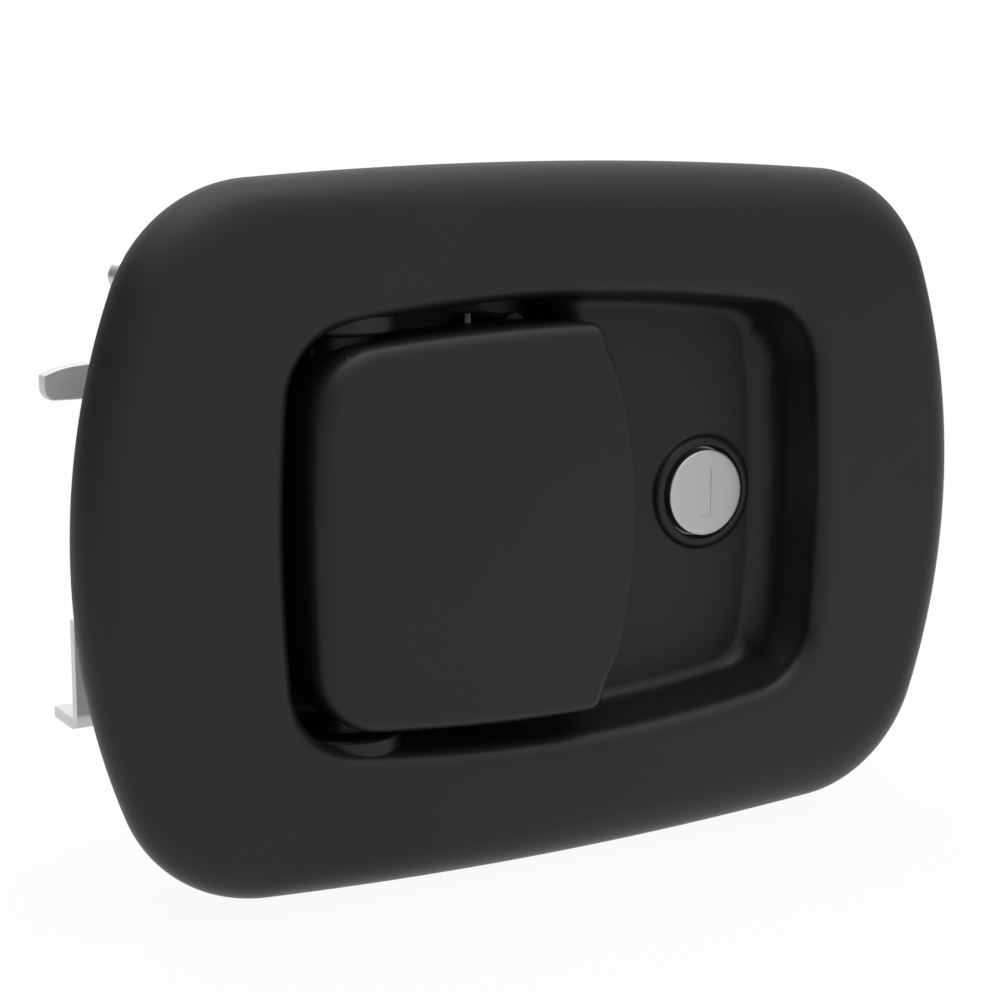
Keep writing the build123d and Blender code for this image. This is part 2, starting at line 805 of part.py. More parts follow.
with BuildPart() as lever_clip:
    clip_front = lever_back + lever_spring_room
    clip_back = clip_front + clip_thickness
    clip_outer = lever_spring_radius + spring_wire_radius
    add(ring(clip_outer, lever_pivot_radius, lever_pivot_x, lever_pivot_z, clip_front, clip_back))
lever_clip.part.label = "lever_clip"
export_step(lever_clip.part, "parts/lever_clip.step")

# ------------------------------------------------------------ lever spring
pivot_place = (lever_pivot_x, lever_pivot_z)
arm_place = (lever_spring_arm_x, lever_spring_arm_z)
peg_gap = spring_peg_radius + spring_wire_radius + plug_play
peg_slope = atan2(spring_peg_z - lever_pivot_z, spring_peg_x - lever_pivot_x)
peg_place = (spring_peg_x - peg_gap * sin(peg_slope), spring_peg_z + peg_gap * cos(peg_slope))
arm_angle = tangent_angle(pivot_place, arm_place, lever_spring_radius, -1)
peg_angle = tangent_angle(pivot_place, peg_place, lever_spring_radius, 1)
lever_spring_height = (lever_spring_turns + (arm_angle - peg_angle) % 360 / 360) * lever_spring_pitch
lever_spring_start = lever_back + spring_wire_radius + plug_play
coil_plane = Plane(
    origin=(lever_pivot_x, lever_spring_start, lever_pivot_z),
    x_dir=(cos(radians(arm_angle)), 0, sin(radians(arm_angle))),
    z_dir=(0, 1, 0),
)
coil = coil_plane * Helix(lever_spring_pitch, lever_spring_height, lever_spring_radius)
with BuildPart() as lever_spring:
    with BuildSketch(Plane(origin=coil @ 0, z_dir=coil % 0)):
        Circle(spring_wire_radius)
    sweep(path=coil, is_frenet=True)
    arm_end = (arm_place[0], lever_spring_start, arm_place[1])
    coil_end = coil @ 1
    peg_end = (
        peg_place[0] + spring_peg_overhang * cos(peg_slope),
        coil_end.Y,
        peg_place[1] + spring_peg_overhang * sin(peg_slope),
    )
    add(straight_wire(tuple(coil @ 0), arm_end, spring_wire_radius))
    add(straight_wire(arm_end, (arm_end[0], lever_front, arm_end[2]), spring_wire_radius))
    add(straight_wire(tuple(coil_end), peg_end, spring_wire_radius))
lever_spring.part.label = "lever_spring"
export_step(lever_spring.part, "parts/lever_spring.step")

# ---------------------------------------------------------------------- lock
with BuildPart() as lock_body:
    collar_radius = lock_face_radius + lock_face_gap - lock_fit_gap
    collar_back = lock_body_front + lock_flange_thickness
    add(disc(collar_radius, lock_x, 0, lock_body_front, collar_back))
    with BuildSketch(depth(lock_body_back)):
        with Locations((lock_x, 0)):
            Circle(lock_barrel_radius)
            Rectangle(2 * lock_flat, 4 * lock_barrel_radius, mode=Mode.INTERSECT)
    extrude(amount=lock_body_back - collar_back)
    bore = disc(plug_radius + running_clearance, lock_x, 0, 0, lock_body_back)
    add(bore, mode=Mode.SUBTRACT)
lock_body.part.label = "lock_body"
export_step(lock_body.part, "parts/lock_body.step")

with BuildPart() as lock_seal:
    add(ring(collar_radius, lock_barrel_radius + lock_fit_gap, lock_x, 0, collar_back, lock_ledge))
lock_seal.part.label = "lock_seal"
export_step(lock_seal.part, "parts/lock_seal.step")

with BuildPart() as lock_nut:
    with BuildSketch(depth(lock_pad_depth + nut_thickness)):
        with Locations((lock_x, 0)):
            RegularPolygon(nut_radius, 6)
            Circle(lock_barrel_radius, mode=Mode.SUBTRACT)
    extrude(amount=nut_thickness)
lock_nut.part.label = "lock_nut"
export_step(lock_nut.part, "parts/lock_nut.step")

wafer_depths = [lock_ledge + wafer_pitch * (count + 1) for count in range(wafer_count)]
with BuildPart() as lock_plug:
    add(disc(lock_face_radius, lock_x, 0, lock_face, lock_face + lock_head_thickness))
    chamfer(lock_plug.edges().sort_by(Axis.Y)[0], lock_face_chamfer)
    add(disc(plug_radius, lock_x, 0, lock_face + 1, cam_front))
    with BuildSketch(depth(cam_back)):
        with Locations((lock_x, 0)):
            Rectangle(plug_tail_side, plug_tail_side)
    extrude(amount=cam_thickness)
    # key slot with a small foot
    with BuildSketch(depth(lock_face + keyway_depth)):
        keyway_left = lock_x + keyway_offset - keyway_width / 2
        bar(keyway_left, keyway_left + keyway_width, -keyway_height / 2, keyway_height / 2)
        bar(keyway_left - keyway_foot, keyway_left, -keyway_height / 2, keyway_width - keyway_height / 2)
    extrude(amount=keyway_depth, mode=Mode.SUBTRACT)
    for wafer_back in wafer_depths:
        with BuildSketch(depth(wafer_back)):
            with Locations((lock_x, 0)):
                Rectangle(wafer_width, wafer_height)
        extrude(amount=wafer_thickness, mode=Mode.SUBTRACT)
    add(disc(cam_screw_radius, lock_x, 0, cam_front - cam_screw_grip, cam_back), mode=Mode.SUBTRACT)
lock_plug.part.label = "lock_plug"
export_step(lock_plug.part, "parts/lock_plug.step")

with BuildPart() as lock_wafers:
    for wafer_back in wafer_depths:
        with BuildSketch(depth(wafer_back)):
            with Locations((lock_x, 0)):
                Rectangle(wafer_width, wafer_height)
                Rectangle(wafer_width / 2, wafer_height / 2, mode=Mode.SUBTRACT)
        extrude(amount=wafer_thickness)
lock_wafers.part.label = "lock_wafers"
export_step(lock_wafers.part, "parts/lock_wafers.step")

with BuildPart() as lock_cam:
    with BuildSketch(depth(cam_back)):
        with Locations((lock_x, 0)):
            Circle(cam_hub_radius)
        with Locations((cam_pin_x, cam_pin_z)):
            Circle(cam_end_radius)
        make_hull()
        with Locations((lock_x, 0)):
            Rectangle(plug_tail_side, plug_tail_side, mode=Mode.SUBTRACT)
    extrude(amount=cam_thickness)
    add(disc(cam_pin_radius, cam_pin_x, cam_pin_z, cam_back, cam_pin_end))
lock_cam.part.label = "lock_cam"
export_step(lock_cam.part, "parts/lock_cam.step")

with BuildPart() as cam_screw:
    head_back = cam_back + cam_screw_head_height
    add(disc(cam_screw_head_radius, lock_x, 0, cam_back, head_back))
    with BuildSketch(depth(head_back)):
        with Locations((lock_x, 0)):
            Rectangle(screw_socket, screw_recess_width)
            Rectangle(screw_recess_width, screw_socket)
    extrude(amount=cam_screw_head_height / 2, mode=Mode.SUBTRACT)
    add(disc(cam_screw_radius, lock_x, 0, cam_front - cam_screw_grip, cam_back))
cam_screw.part.label = "cam_screw"
export_step(cam_screw.part, "parts/cam_screw.step")

# --------------------------------------------------------------------- slide
slide_middle = slide_rivet_places[0][1]
slot_radius = slide_rivet_radius + slide_slot_gap
cam_slot_radius = cam_pin_radius + slide_slot_gap
with BuildPart() as lock_slide:
    with BuildSketch(depth(slide_back)):
        bar(slide_shoulder_x, slide_right, slide_bottom, slide_top)
        bar(slide_nose_x, slide_shoulder_x, slide_nose_bottom, slide_nose_bottom + slide_nose_height)
        slot_left = slide_rivet_places[0][0] - slot_radius
        slot_right = slide_rivet_places[-1][0] + slide_travel + slot_radius
        with Locations(((slot_left + slot_right) / 2, slide_middle)):
            SlotOverall(slot_right - slot_left, 2 * slot_radius, mode=Mode.SUBTRACT)
        cam_slot_bottom = -cam_radius - cam_slot_radius
        cam_slot_top = cam_pin_z + cam_slot_radius
        cut_bar(cam_pin_x - cam_slot_radius, cam_pin_x + cam_slot_radius, cam_slot_bottom, cam_slot_top)
    extrude(amount=slide_thickness)
lock_slide.part.label = "lock_slide"
export_step(lock_slide.part, "parts/lock_slide.step")

washer_front = slide_back + plug_play
with BuildPart() as slide_washers:
    for x, z in slide_rivet_places:
        add(ring(slide_washer_radius, slide_rivet_radius, x, z, washer_front, washer_front + washer_thickness))
slide_washers.part.label = "slide_washers"
export_step(slide_washers.part, "parts/slide_washers.step")

with BuildPart() as slide_rivets:
    rivet_back = washer_front + washer_thickness
    for x, z in slide_rivet_places:
        add(disc(slide_rivet_radius, x, z, plate_front, rivet_back))
        add(disc(slide_rivet_head_radius, x, z, plate_front - slide_rivet_head_height, plate_front))
        add(disc(slide_rivet_head_radius, x, z, rivet_back, rivet_back + slide_rivet_head_height))
slide_rivets.part.label = "slide_rivets"
export_step(slide_rivets.part, "parts/slide_rivets.step")
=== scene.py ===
# %% [markdown]
# # A paddle latch with a key lock
#
# The latch sits flush in the door of a vehicle or a cabinet. Behind a wide
# flange lies a pan, and in the pan a paddle that turns about an upright pin.
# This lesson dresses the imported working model: every visible surface gets its
# true curves and a procedural finish, and every piece rides on the body that
# moves it.
#
# The first cell loads the frame. It comes before anything else, because all
# places are taken from it.

# %% Load the frame
import json
from contextlib import contextmanager
from math import pi, radians

import bmesh
import bpy
import numpy as np
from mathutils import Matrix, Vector

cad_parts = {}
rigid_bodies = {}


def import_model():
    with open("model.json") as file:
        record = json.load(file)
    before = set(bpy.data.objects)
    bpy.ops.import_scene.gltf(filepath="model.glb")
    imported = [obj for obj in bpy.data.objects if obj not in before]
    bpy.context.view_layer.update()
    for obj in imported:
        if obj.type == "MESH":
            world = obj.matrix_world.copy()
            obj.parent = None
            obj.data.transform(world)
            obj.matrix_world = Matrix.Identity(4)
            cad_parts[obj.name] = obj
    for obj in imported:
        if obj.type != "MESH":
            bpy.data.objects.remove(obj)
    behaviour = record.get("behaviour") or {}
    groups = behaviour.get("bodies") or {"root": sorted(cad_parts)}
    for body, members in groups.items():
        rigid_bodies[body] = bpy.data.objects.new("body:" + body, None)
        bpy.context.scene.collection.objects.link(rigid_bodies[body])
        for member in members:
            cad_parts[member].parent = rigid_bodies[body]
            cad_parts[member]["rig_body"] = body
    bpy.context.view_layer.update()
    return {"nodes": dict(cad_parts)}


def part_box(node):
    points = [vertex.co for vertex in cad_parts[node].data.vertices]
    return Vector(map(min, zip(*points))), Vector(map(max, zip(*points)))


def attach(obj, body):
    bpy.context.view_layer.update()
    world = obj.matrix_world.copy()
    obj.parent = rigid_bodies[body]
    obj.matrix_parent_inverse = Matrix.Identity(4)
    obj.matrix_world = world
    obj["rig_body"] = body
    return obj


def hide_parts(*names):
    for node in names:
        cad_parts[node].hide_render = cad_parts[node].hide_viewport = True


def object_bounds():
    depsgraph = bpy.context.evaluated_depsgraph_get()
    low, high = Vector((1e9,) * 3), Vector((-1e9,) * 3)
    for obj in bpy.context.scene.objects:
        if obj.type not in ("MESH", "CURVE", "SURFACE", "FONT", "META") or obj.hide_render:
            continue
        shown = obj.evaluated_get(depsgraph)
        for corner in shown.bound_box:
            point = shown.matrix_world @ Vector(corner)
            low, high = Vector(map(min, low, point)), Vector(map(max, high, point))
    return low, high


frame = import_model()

MM = 0.001

# %% [markdown]
# ## Camera
#
# A product picture is taken with a long lens, so that the near and the far end
# keep almost the same scale. The camera stands a little to the left of the
# latch and a little above it, where the depth of the pan shows.

# %% Camera
camera = bpy.data.objects.new("camera", bpy.data.cameras.new("camera"))
bpy.context.scene.collection.objects.link(camera)
bpy.context.scene.camera = camera
camera.data.lens = 80.0
camera.data.sensor_width = 36.0
camera.data.clip_start = 0.01
camera.location = (-0.20241, -0.33287, 0.07134)
sight_line = Vector((0.4924, 0.8529, -0.1736))  # 30 degrees round from the front, 10 degrees down
camera.rotation_euler = sight_line.to_track_quat("-Z", "Y").to_euler()
print("camera at", tuple(camera.location))

# %% [markdown]
# ## Surfaces from whole arrays
#
# Each new piece is a table of points worked out with numpy. A surface has two
# parameters: a row for each station along a profile, a column for each step
# round it. One helper turns such tables into a mesh, welds rows that have
# shrunk to a point, and turns the faces outwards by the sign of the volume.


# %% Mesh helpers
WELD = 1e-6  # metres between two points that count as one


def grid_faces(rows, columns, ring_rows):
    """Corner numbers of the four-sided faces between neighbours; every row is a closed ring."""
    row = np.arange(rows if ring_rows else rows - 1)[:, None]
    column = np.arange(columns)[None, :]
    next_row, next_column = (row + 1) % rows, (column + 1) % columns
    corners = [row * columns + column, row * columns + next_column]
    corners += [next_row * columns + next_column, next_row * columns + column]
    corners = [np.broadcast_to(corner, (row.size, column.size)) for corner in corners]
    return np.stack(corners, axis=-1).reshape(-1, 4)


def outward(points, faces):
    """The faces, turned round if the volume that they enclose comes out negative."""
    a, b, c, d = (points[faces[:, k]] for k in range(4))
    volume = np.einsum("ij,ij->", a, np.cross(b, c)) + np.einsum("ij,ij->", a, np.cross(c, d))
    return faces if volume > 0 else faces[:, ::-1]


def shell(table, ring_rows=False):
    """(points, faces) of one closed surface from a table of points, rows by columns by three."""
    points = table.reshape(-1, 3)
    return points, outward(points, grid_faces(table.shape[0], table.shape[1], ring_rows))


def make_mesh(name, shells, sharp_angle):
    """One mesh in metres from closed surfaces in millimetres; edges past the angle stay sharp."""
    starts = np.cumsum([0] + [len(points) for points, _ in shells])
    points = np.concatenate([points for points, _ in shells]) * MM
    faces = np.concatenate([faces + start for (_, faces), start in zip(shells, starts)])
    mesh = bpy.data.meshes.new(name)
    mesh.from_pydata(points.tolist(), [], faces.tolist())
    welded(mesh, sharp_angle)
    return mesh


@contextmanager
def reworking(mesh, sharp_angle):
    """Opens a mesh for changes, then shades it smooth; edges past the angle stay sharp."""
    work = bmesh.new()
    work.from_mesh(mesh)
    yield work
    work.to_mesh(mesh)
    work.free()
    mesh.validate()
    mesh.shade_smooth()
    mesh.set_sharp_from_angle(angle=radians(sharp_angle))


def welded(mesh, sharp_angle):
    """Welds equal points, drops faces without area and shades the rest."""
    with reworking(mesh, sharp_angle) as work:
        bmesh.ops.remove_doubles(work, verts=work.verts, dist=WELD)
        bmesh.ops.dissolve_degenerate(work, edges=work.edges, dist=WELD)


def show(name, mesh, body, slot, material, *nodes):
    """Puts a mesh in the scene on its body, with its finish, in place of the nodes it stands for."""
    piece = bpy.data.objects.new(name, mesh)
    bpy.context.scene.collection.objects.link(piece)
    mesh.materials.clear()
    mesh.materials.append(material)
    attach(piece, body)
    if nodes:
        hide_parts(*nodes)
    print(f"{name}: {len(mesh.vertices)} points, {len(mesh.polygons)} faces, on {body}")
    return piece


# %% [markdown]
# ## Outlines
#
# The flange, the pan and the paddle are all the same kind of shape: four
# shallow arcs that bulge outwards, joined by round corners. An outline is
# worked out exactly. The centre of a corner lies one corner radius inside both
# arcs, so it is the top of a triangle whose three sides are known.


# %% Arched outlines
def meeting(first, first_reach, second, second_reach, side):
    """The point at those two distances from two centres, on the left (-1) or the right (1)."""
    across = second - first
    span = np.hypot(*across)
    along = (span**2 + first_reach**2 - second_reach**2) / (2 * span)
    height = np.sqrt(first_reach**2 - along**2)
    middle = first + across * along / span
    normal = np.array([-across[1], across[0]]) / span
    return max(middle + height * normal, middle - height * normal, key=lambda point: side * point[0])


def arc_points(centre, radius, start, end, count):
    """Points on an arc: centre + radius (cos a, sin a), for angles from start up to end."""
    angle = np.linspace(start, end, count, endpoint=False)
    return centre + radius * np.stack([np.cos(angle), np.sin(angle)], axis=-1)


def arched(
    left, right, half_height, left_radius, right_radius, top_radius, left_corner, right_corner, counts
):
    """Outline from the middle of the right side, anticlockwise; the lower half mirrors the upper."""
    top = np.array([0.0, half_height - top_radius])
    right_centre = np.array([right - right_radius, 0.0])
    left_centre = np.array([left + left_radius, 0.0])
    right_fillet = meeting(right_centre, right_radius - right_corner, top, top_radius - right_corner, 1)
    left_fillet = meeting(left_centre, left_radius - left_corner, top, top_radius - left_corner, -1)
    turns = [
        np.arctan2(*(right_fillet - right_centre)[::-1]),
        np.arctan2(*(right_fillet - top)[::-1]),
        np.arctan2(*(left_fillet - top)[::-1]),
        np.arctan2(*(left_fillet - left_centre)[::-1]),
    ]
    upper = np.concatenate(
        [
            arc_points(right_centre, right_radius, 0.0, turns[0], counts[0]),
            arc_points(right_fillet, right_corner, turns[0], turns[1], counts[1]),
            arc_points(top, top_radius, turns[1], turns[2], counts[2]),
            arc_points(left_fillet, left_corner, turns[2], turns[3], counts[3]),
            arc_points(left_centre, left_radius, turns[3], pi, counts[4]),
            [[left, 0.0]],
        ]
    )
    return np.concatenate([upper, upper[-2:0:-1] * [1, -1]])


FINE = (300, 300, 900, 300, 300)  # points on the side, corner, top, corner and side
FLANGE_HALF_WIDTH, FLANGE_HALF_HEIGHT = 89.0, 62.4
FLANGE_SIDE, FLANGE_TOP, FLANGE_CORNER = 122.0, 864.0, 26.7
PAN_LEFT, PAN_RIGHT, PAN_HALF_HEIGHT = -54.2, 55.2, 39.2
PAN_SIDE, PAN_TOP, PAN_CORNER, TIGHTEST_CORNER = 284.0, 300.0, 13.0, 4.0
FOOT_LEFT, FOOT_RIGHT, FOOT_HALF_HEIGHT = -52.2, 48.3, 35.8
FOOT_SIDES, FOOT_TOP, FOOT_CORNERS = (282.0, 278.0), 297.0, (11.0, 7.0)


def flange_outline(inset, counts=FINE):
    """The flange's outline, moved inwards."""
    side, top, corner = FLANGE_SIDE - inset, FLANGE_TOP - inset, FLANGE_CORNER - inset
    across, up = FLANGE_HALF_WIDTH - inset, FLANGE_HALF_HEIGHT - inset
    return arched(-across, across, up, side, side, top, corner, corner, counts)


def pan_outline(inset, counts=FINE):
    """The outline of the pan's opening, moved inwards."""
    side, top, corner = PAN_SIDE - inset, PAN_TOP - inset, max(PAN_CORNER - inset, TIGHTEST_CORNER)
    left, right, up = PAN_LEFT + inset, PAN_RIGHT - inset, PAN_HALF_HEIGHT - inset
    return arched(left, right, up, side, side, top, corner, corner, counts)


def pan_foot_outline(counts=FINE):
    """Where the pan's walls meet its floors: the left wall is upright, the right leans in most."""
    return arched(FOOT_LEFT, FOOT_RIGHT, FOOT_HALF_HEIGHT, *FOOT_SIDES, FOOT_TOP, *FOOT_CORNERS, counts)


print("flange outline:", flange_outline(0.0).shape, "pan outline:", pan_outline(0.0).shape)

# %% [markdown]
# ## Finishes
#
# The latch is painted satin black. Such paint is never one flat colour: it has
# a very fine orange peel, and its gloss varies a little. Plated and cast
# metal, rubber, foam, nylon and spring wire each get their own small recipe
# of noise, read from Object coordinates, so that a pattern stays on its piece
# when the piece moves.


# %% Material helpers
def new_material(name):
    """A material with its node tree, its shader and the object's own coordinates."""
    material = bpy.data.materials.new(name)
    material.use_nodes = True
    nodes = material.node_tree.nodes
    return material, nodes, material.node_tree.links, nodes["Principled BSDF"]


def noise(nodes, links, scale, detail=3.0, stretch=(1, 1, 1)):
    """Noise of that many cells per metre on Object coordinates, stretched along the axes."""
    place = nodes.new("ShaderNodeTexCoord")
    turn = nodes.new("ShaderNodeMapping")
    turn.inputs["Scale"].default_value = stretch
    texture = nodes.new("ShaderNodeTexNoise")
    texture.inputs["Scale"].default_value = scale
    texture.inputs["Detail"].default_value = detail
    links.new(place.outputs["Object"], turn.inputs["Vector"])
    links.new(turn.outputs["Vector"], texture.inputs["Vector"])
    return texture.outputs["Fac"]


def ranged(nodes, links, source, limits, results, curve="SMOOTHSTEP"):
    """Maps a value from between its limits to between two results, along an S-shaped curve."""
    ramp = nodes.new("ShaderNodeMapRange")
    ramp.interpolation_type = curve
    for socket, value in zip(("From Min", "From Max", "To Min", "To Max"), (*limits, *results)):
        ramp.inputs[socket].default_value = value
    links.new(source, ramp.inputs["Value"])
    return ramp.outputs["Result"]


def spread(nodes, links, source, results):
    """Maps the middle half of a noise to a range, such as a roughness."""
    return ranged(nodes, links, source, (0.25, 0.75), results, "LINEAR")


def worked_out(nodes, links, operation, *values):
    """One step of arithmetic on numbers and on other nodes' outputs."""
    step = nodes.new("ShaderNodeMath")
    step.operation = operation
    for socket, value in zip(step.inputs, values):
        if isinstance(value, float):
            socket.default_value = value
        else:
            links.new(value, socket)
    return step.outputs["Value"]


def two_tone(nodes, links, source, dark, light):
    """A colour between two tones, by a noise."""
    ramp = nodes.new("ShaderNodeValToRGB")
    ramp.color_ramp.elements[0].position = 0.3
    ramp.color_ramp.elements[1].position = 0.7
    ramp.color_ramp.elements[0].color = (*dark, 1)
    ramp.color_ramp.elements[1].color = (*light, 1)
    links.new(source, ramp.inputs["Fac"])
    return ramp.outputs["Color"]


def add_relief(nodes, links, shader, source, height):
    """Bump from a noise, with its height in metres."""
    bump = nodes.new("ShaderNodeBump")
    bump.inputs["Strength"].default_value = 1.0
    bump.inputs["Distance"].default_value = height
    links.new(source, bump.inputs["Height"])
    links.new(bump.outputs["Normal"], shader.inputs["Normal"])


def finish(
    name, dark, light, tone_scale, rough, grain, relief, metallic=0.0, specular=0.5, stretch=(1, 1, 1)
):
    """A finish: a slow change of tone, a range of roughness, and a fine grain with its relief in mm."""
    material, nodes, links, shader = new_material(name)
    slow = noise(nodes, links, tone_scale, 2.0)
    fine = noise(nodes, links, grain, 3.0, stretch)
    links.new(two_tone(nodes, links, slow, dark, light), shader.inputs["Base Color"])
    links.new(spread(nodes, links, fine, rough), shader.inputs["Roughness"])
    shader.inputs["Metallic"].default_value = metallic
    shader.inputs["Specular IOR Level"].default_value = specular
    add_relief(nodes, links, shader, fine, relief * MM)
    print("finish:", name)
    return material


# %% Finishes of the latch
black_paint = finish(
    "black_paint", (0.0075, 0.0076, 0.0078), (0.0095, 0.0096, 0.0098),
    tone_scale=30, rough=(0.36, 0.44), grain=1400, relief=0.006, specular=0.285,
)
zinc_plate = finish(
    "zinc_plate", (0.62, 0.62, 0.605), (0.72, 0.72, 0.705),
    tone_scale=90, rough=(0.40, 0.54), grain=900, relief=0.008, metallic=0.35, stretch=(1, 1, 3),
)
zinc_cast = finish(
    "zinc_cast", (0.40, 0.40, 0.39), (0.50, 0.50, 0.49),
    tone_scale=220, rough=(0.38, 0.55), grain=2600, relief=0.02, metallic=1.0,
)
spring_steel = finish(
    "spring_steel", (0.70, 0.70, 0.69), (0.82, 0.82, 0.81),
    tone_scale=400, rough=(0.24, 0.36), grain=2400, relief=0.004, metallic=0.6,
)
bright_steel = finish(
    "bright_steel", (0.60, 0.60, 0.59), (0.72, 0.72, 0.71),
    tone_scale=160, rough=(0.22, 0.34), grain=1800, relief=0.006, metallic=1.0,
)
brass = finish(
    "brass", (0.52, 0.37, 0.15), (0.64, 0.47, 0.21),
    tone_scale=260, rough=(0.26, 0.38), grain=2000, relief=0.006, metallic=1.0,
)
rubber = finish(
    "rubber", (0.012, 0.012, 0.012), (0.022, 0.022, 0.021),
    tone_scale=500, rough=(0.62, 0.82), grain=4200, relief=0.03,
)
foam = finish(
    "foam", (0.020, 0.020, 0.021), (0.040, 0.040, 0.041),
    tone_scale=900, rough=(0.85, 0.98), grain=2600, relief=0.14,
)
nylon = finish(
    "nylon", (0.66, 0.64, 0.58), (0.74, 0.72, 0.66),
    tone_scale=120, rough=(0.42, 0.55), grain=1500, relief=0.01,
)

# %% [markdown]
# The face of the key plug is turned on a lathe, so its grain runs in rings
# about its own axis. A Mapping node moves the middle of the rings to the
# plug, and the distance from there drives a fine noise.


# %% Lock face finish
lock_low, lock_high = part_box("lock_plug")
lock_middle = (Vector(lock_low) + Vector(lock_high)) / 2
lock_face, nodes, links, shader = new_material("lock_face")
place = nodes.new("ShaderNodeTexCoord")
centring = nodes.new("ShaderNodeMapping")
centring.inputs["Location"].default_value = (-lock_middle.x, 0.0, -lock_middle.z)
flatten = nodes.new("ShaderNodeVectorMath")
flatten.operation = "MULTIPLY"
flatten.inputs[1].default_value = (1, 0, 1)
length = nodes.new("ShaderNodeVectorMath")
length.operation = "LENGTH"
rings = nodes.new("ShaderNodeTexNoise")
rings.noise_dimensions = "1D"
rings.inputs["Scale"].default_value = 7000
rings.inputs["Detail"].default_value = 3
links.new(place.outputs["Object"], centring.inputs["Vector"])
links.new(centring.outputs["Vector"], flatten.inputs[0])
links.new(flatten.outputs["Vector"], length.inputs[0])
links.new(length.outputs["Value"], rings.inputs["W"])
turned_grain = rings.outputs["Fac"]
lock_tone = two_tone(nodes, links, turned_grain, (0.45, 0.448, 0.445), (0.51, 0.508, 0.505))
links.new(lock_tone, shader.inputs["Base Color"])
links.new(spread(nodes, links, turned_grain, (0.34, 0.42)), shader.inputs["Roughness"])
shader.inputs["Metallic"].default_value = 1.0
add_relief(nodes, links, shader, turned_grain, 0.0015 * MM)
print("finish: lock_face, centred at", tuple(round(v, 4) for v in lock_middle))

# %% [markdown]
# ## The housing
#
# Flange, pan and lock ring are one casting. Seen from the middle of the lock,
# every outline of the casting can be reached by a straight ray, and none is
# crossed twice. So the whole skin is one table: a column for each ray, and a
# row for each station along the section, from the back edge of the flange over
# its roll and crown, down the pan's wall, across its floor, up the lock ring,
# through the bore and back along the rear. The last row meets the first, so
# the skin is closed.
#
# A station is a distance along the ray and a depth. An outline that is moved
# inwards by a varying amount is read from a table of evenly spaced insets,
# by a straight blend of the two rows on either side.

# %% Rays from the lock
LOCK_X = 37.5
guide = flange_outline(0.0, (46, 40, 120, 40, 46))
rays = np.unwrap(np.arctan2(guide[:, 1], guide[:, 0] - LOCK_X))
ray_across, ray_up = np.cos(rays), np.sin(rays)
COLUMNS = len(rays)


def reach(outline):
    """How far each ray goes from the lock's centre to an outline."""
    across, up = outline[:, 0] - LOCK_X, outline[:, 1]
    return np.interp(rays, np.arctan2(up, across), np.hypot(across, up), period=2 * pi)


def at_inset(table, levels, inset):
    """Reads a table, with one row for each of some even levels, at an inset for each column."""
    step = np.clip((inset - levels[0]) / (levels[1] - levels[0]), 0, len(levels) - 1.001)
    low = step.astype(int)
    part = (step - low).reshape(step.shape + (1,) * (table.ndim - 2))
    columns = np.arange(table.shape[1])
    return table[low, columns] * (1 - part) + table[low + 1, columns] * part


def inset_reader(outline, levels):
    """A function that reads the reach of an outline at any inset, between those on a table."""
    table = np.stack([reach(outline(level)) for level in levels])

    def read(inset):
        inset = np.broadcast_to(inset, np.broadcast_shapes(np.shape(inset), (1, COLUMNS)))
        return at_inset(table, levels, inset)

    return read


flange_reach = inset_reader(flange_outline, np.arange(0.0, 9.0, 1.0))
pan_reach = inset_reader(pan_outline, np.arange(-4.0, 13.0, 1.0))
wall_top = pan_reach(0.0)[0]
print("rays:", COLUMNS, "reach of the pan:", wall_top.min().round(1), "to", wall_top.max().round(1))

# %% [markdown]
# The pan is really two rooms. On the right it is a shallow scoop with
# slanting walls and round feet; on the left, under the paddle, it drops to a
# deep pocket with upright walls. The edge between them is an arc about a
# centre far to the left, and the scoop's floor rolls down over it. A ray that
# meets this arc gets extra stations for the drop, and on all other rays those
# stations fall together and are welded away.
#
# From the rim a wall first leans in a little and then bends over into its
# floor. How far it leans grows from nothing at the paddle's side to its full
# share of the way at the right, and the height of the bend follows the way
# that is left.


# %% Rooms of the pan
def between(start, stop, fraction):
    """Straight blend of two values or rows."""
    return start + (stop - start) * fraction


ARC_RADIUS, ARC_RIGHT = 91.0, 13.6
ARC_CENTRE = ARC_RIGHT - ARC_RADIUS
SCOOP_DEPTH, POCKET_DEPTH, WALL, ROLL = 7.0, 20.0, 2.6, 6.0
RIM_RADIUS, RIM_DEPTH = 3.2, -7.5
LEAN_FROM, LEAN_OVER, LEAN_SHARE = -1.0, 8.0, 0.26  # x where it starts, over how far, at full
FOOT_HEIGHTS = (1.5, 5.5)  # the least and the greatest height of the bend
MEETING = 0.05  # an edge nearer to an outline than this counts as on it
FAR = 1e6


def smooth(value):
    """0 below 0, 1 above 1, and an S-shaped curve 3t2 - 2t3 between."""
    value = np.clip(value, 0, 1)
    return value * value * (3 - 2 * value)


def arc_reach(radius):
    """Where each ray first meets a circle about the arc's centre, or far away; takes columns too."""
    toward = (LOCK_X - ARC_CENTRE) * -ray_across
    inside = toward**2 - (LOCK_X - ARC_CENTRE) ** 2 + radius**2
    hit = toward - np.sqrt(np.maximum(inside, 0))
    return np.where((inside > 0) & (toward > 0), hit, FAR)


def arc_distance(radius):
    """Distance of stations outside the arc, from their reach along the rays."""
    return np.hypot(LOCK_X + radius * ray_across - ARC_CENTRE, radius * ray_up) - ARC_RADIUS


def floor_depth(radius):
    """The scoop's floor, which rolls down as a quarter circle next to the arc."""
    fall = np.clip(1 - arc_distance(radius) / ROLL, 0, 1)
    return SCOOP_DEPTH + ROLL * (1 - np.sqrt(1 - fall**2))


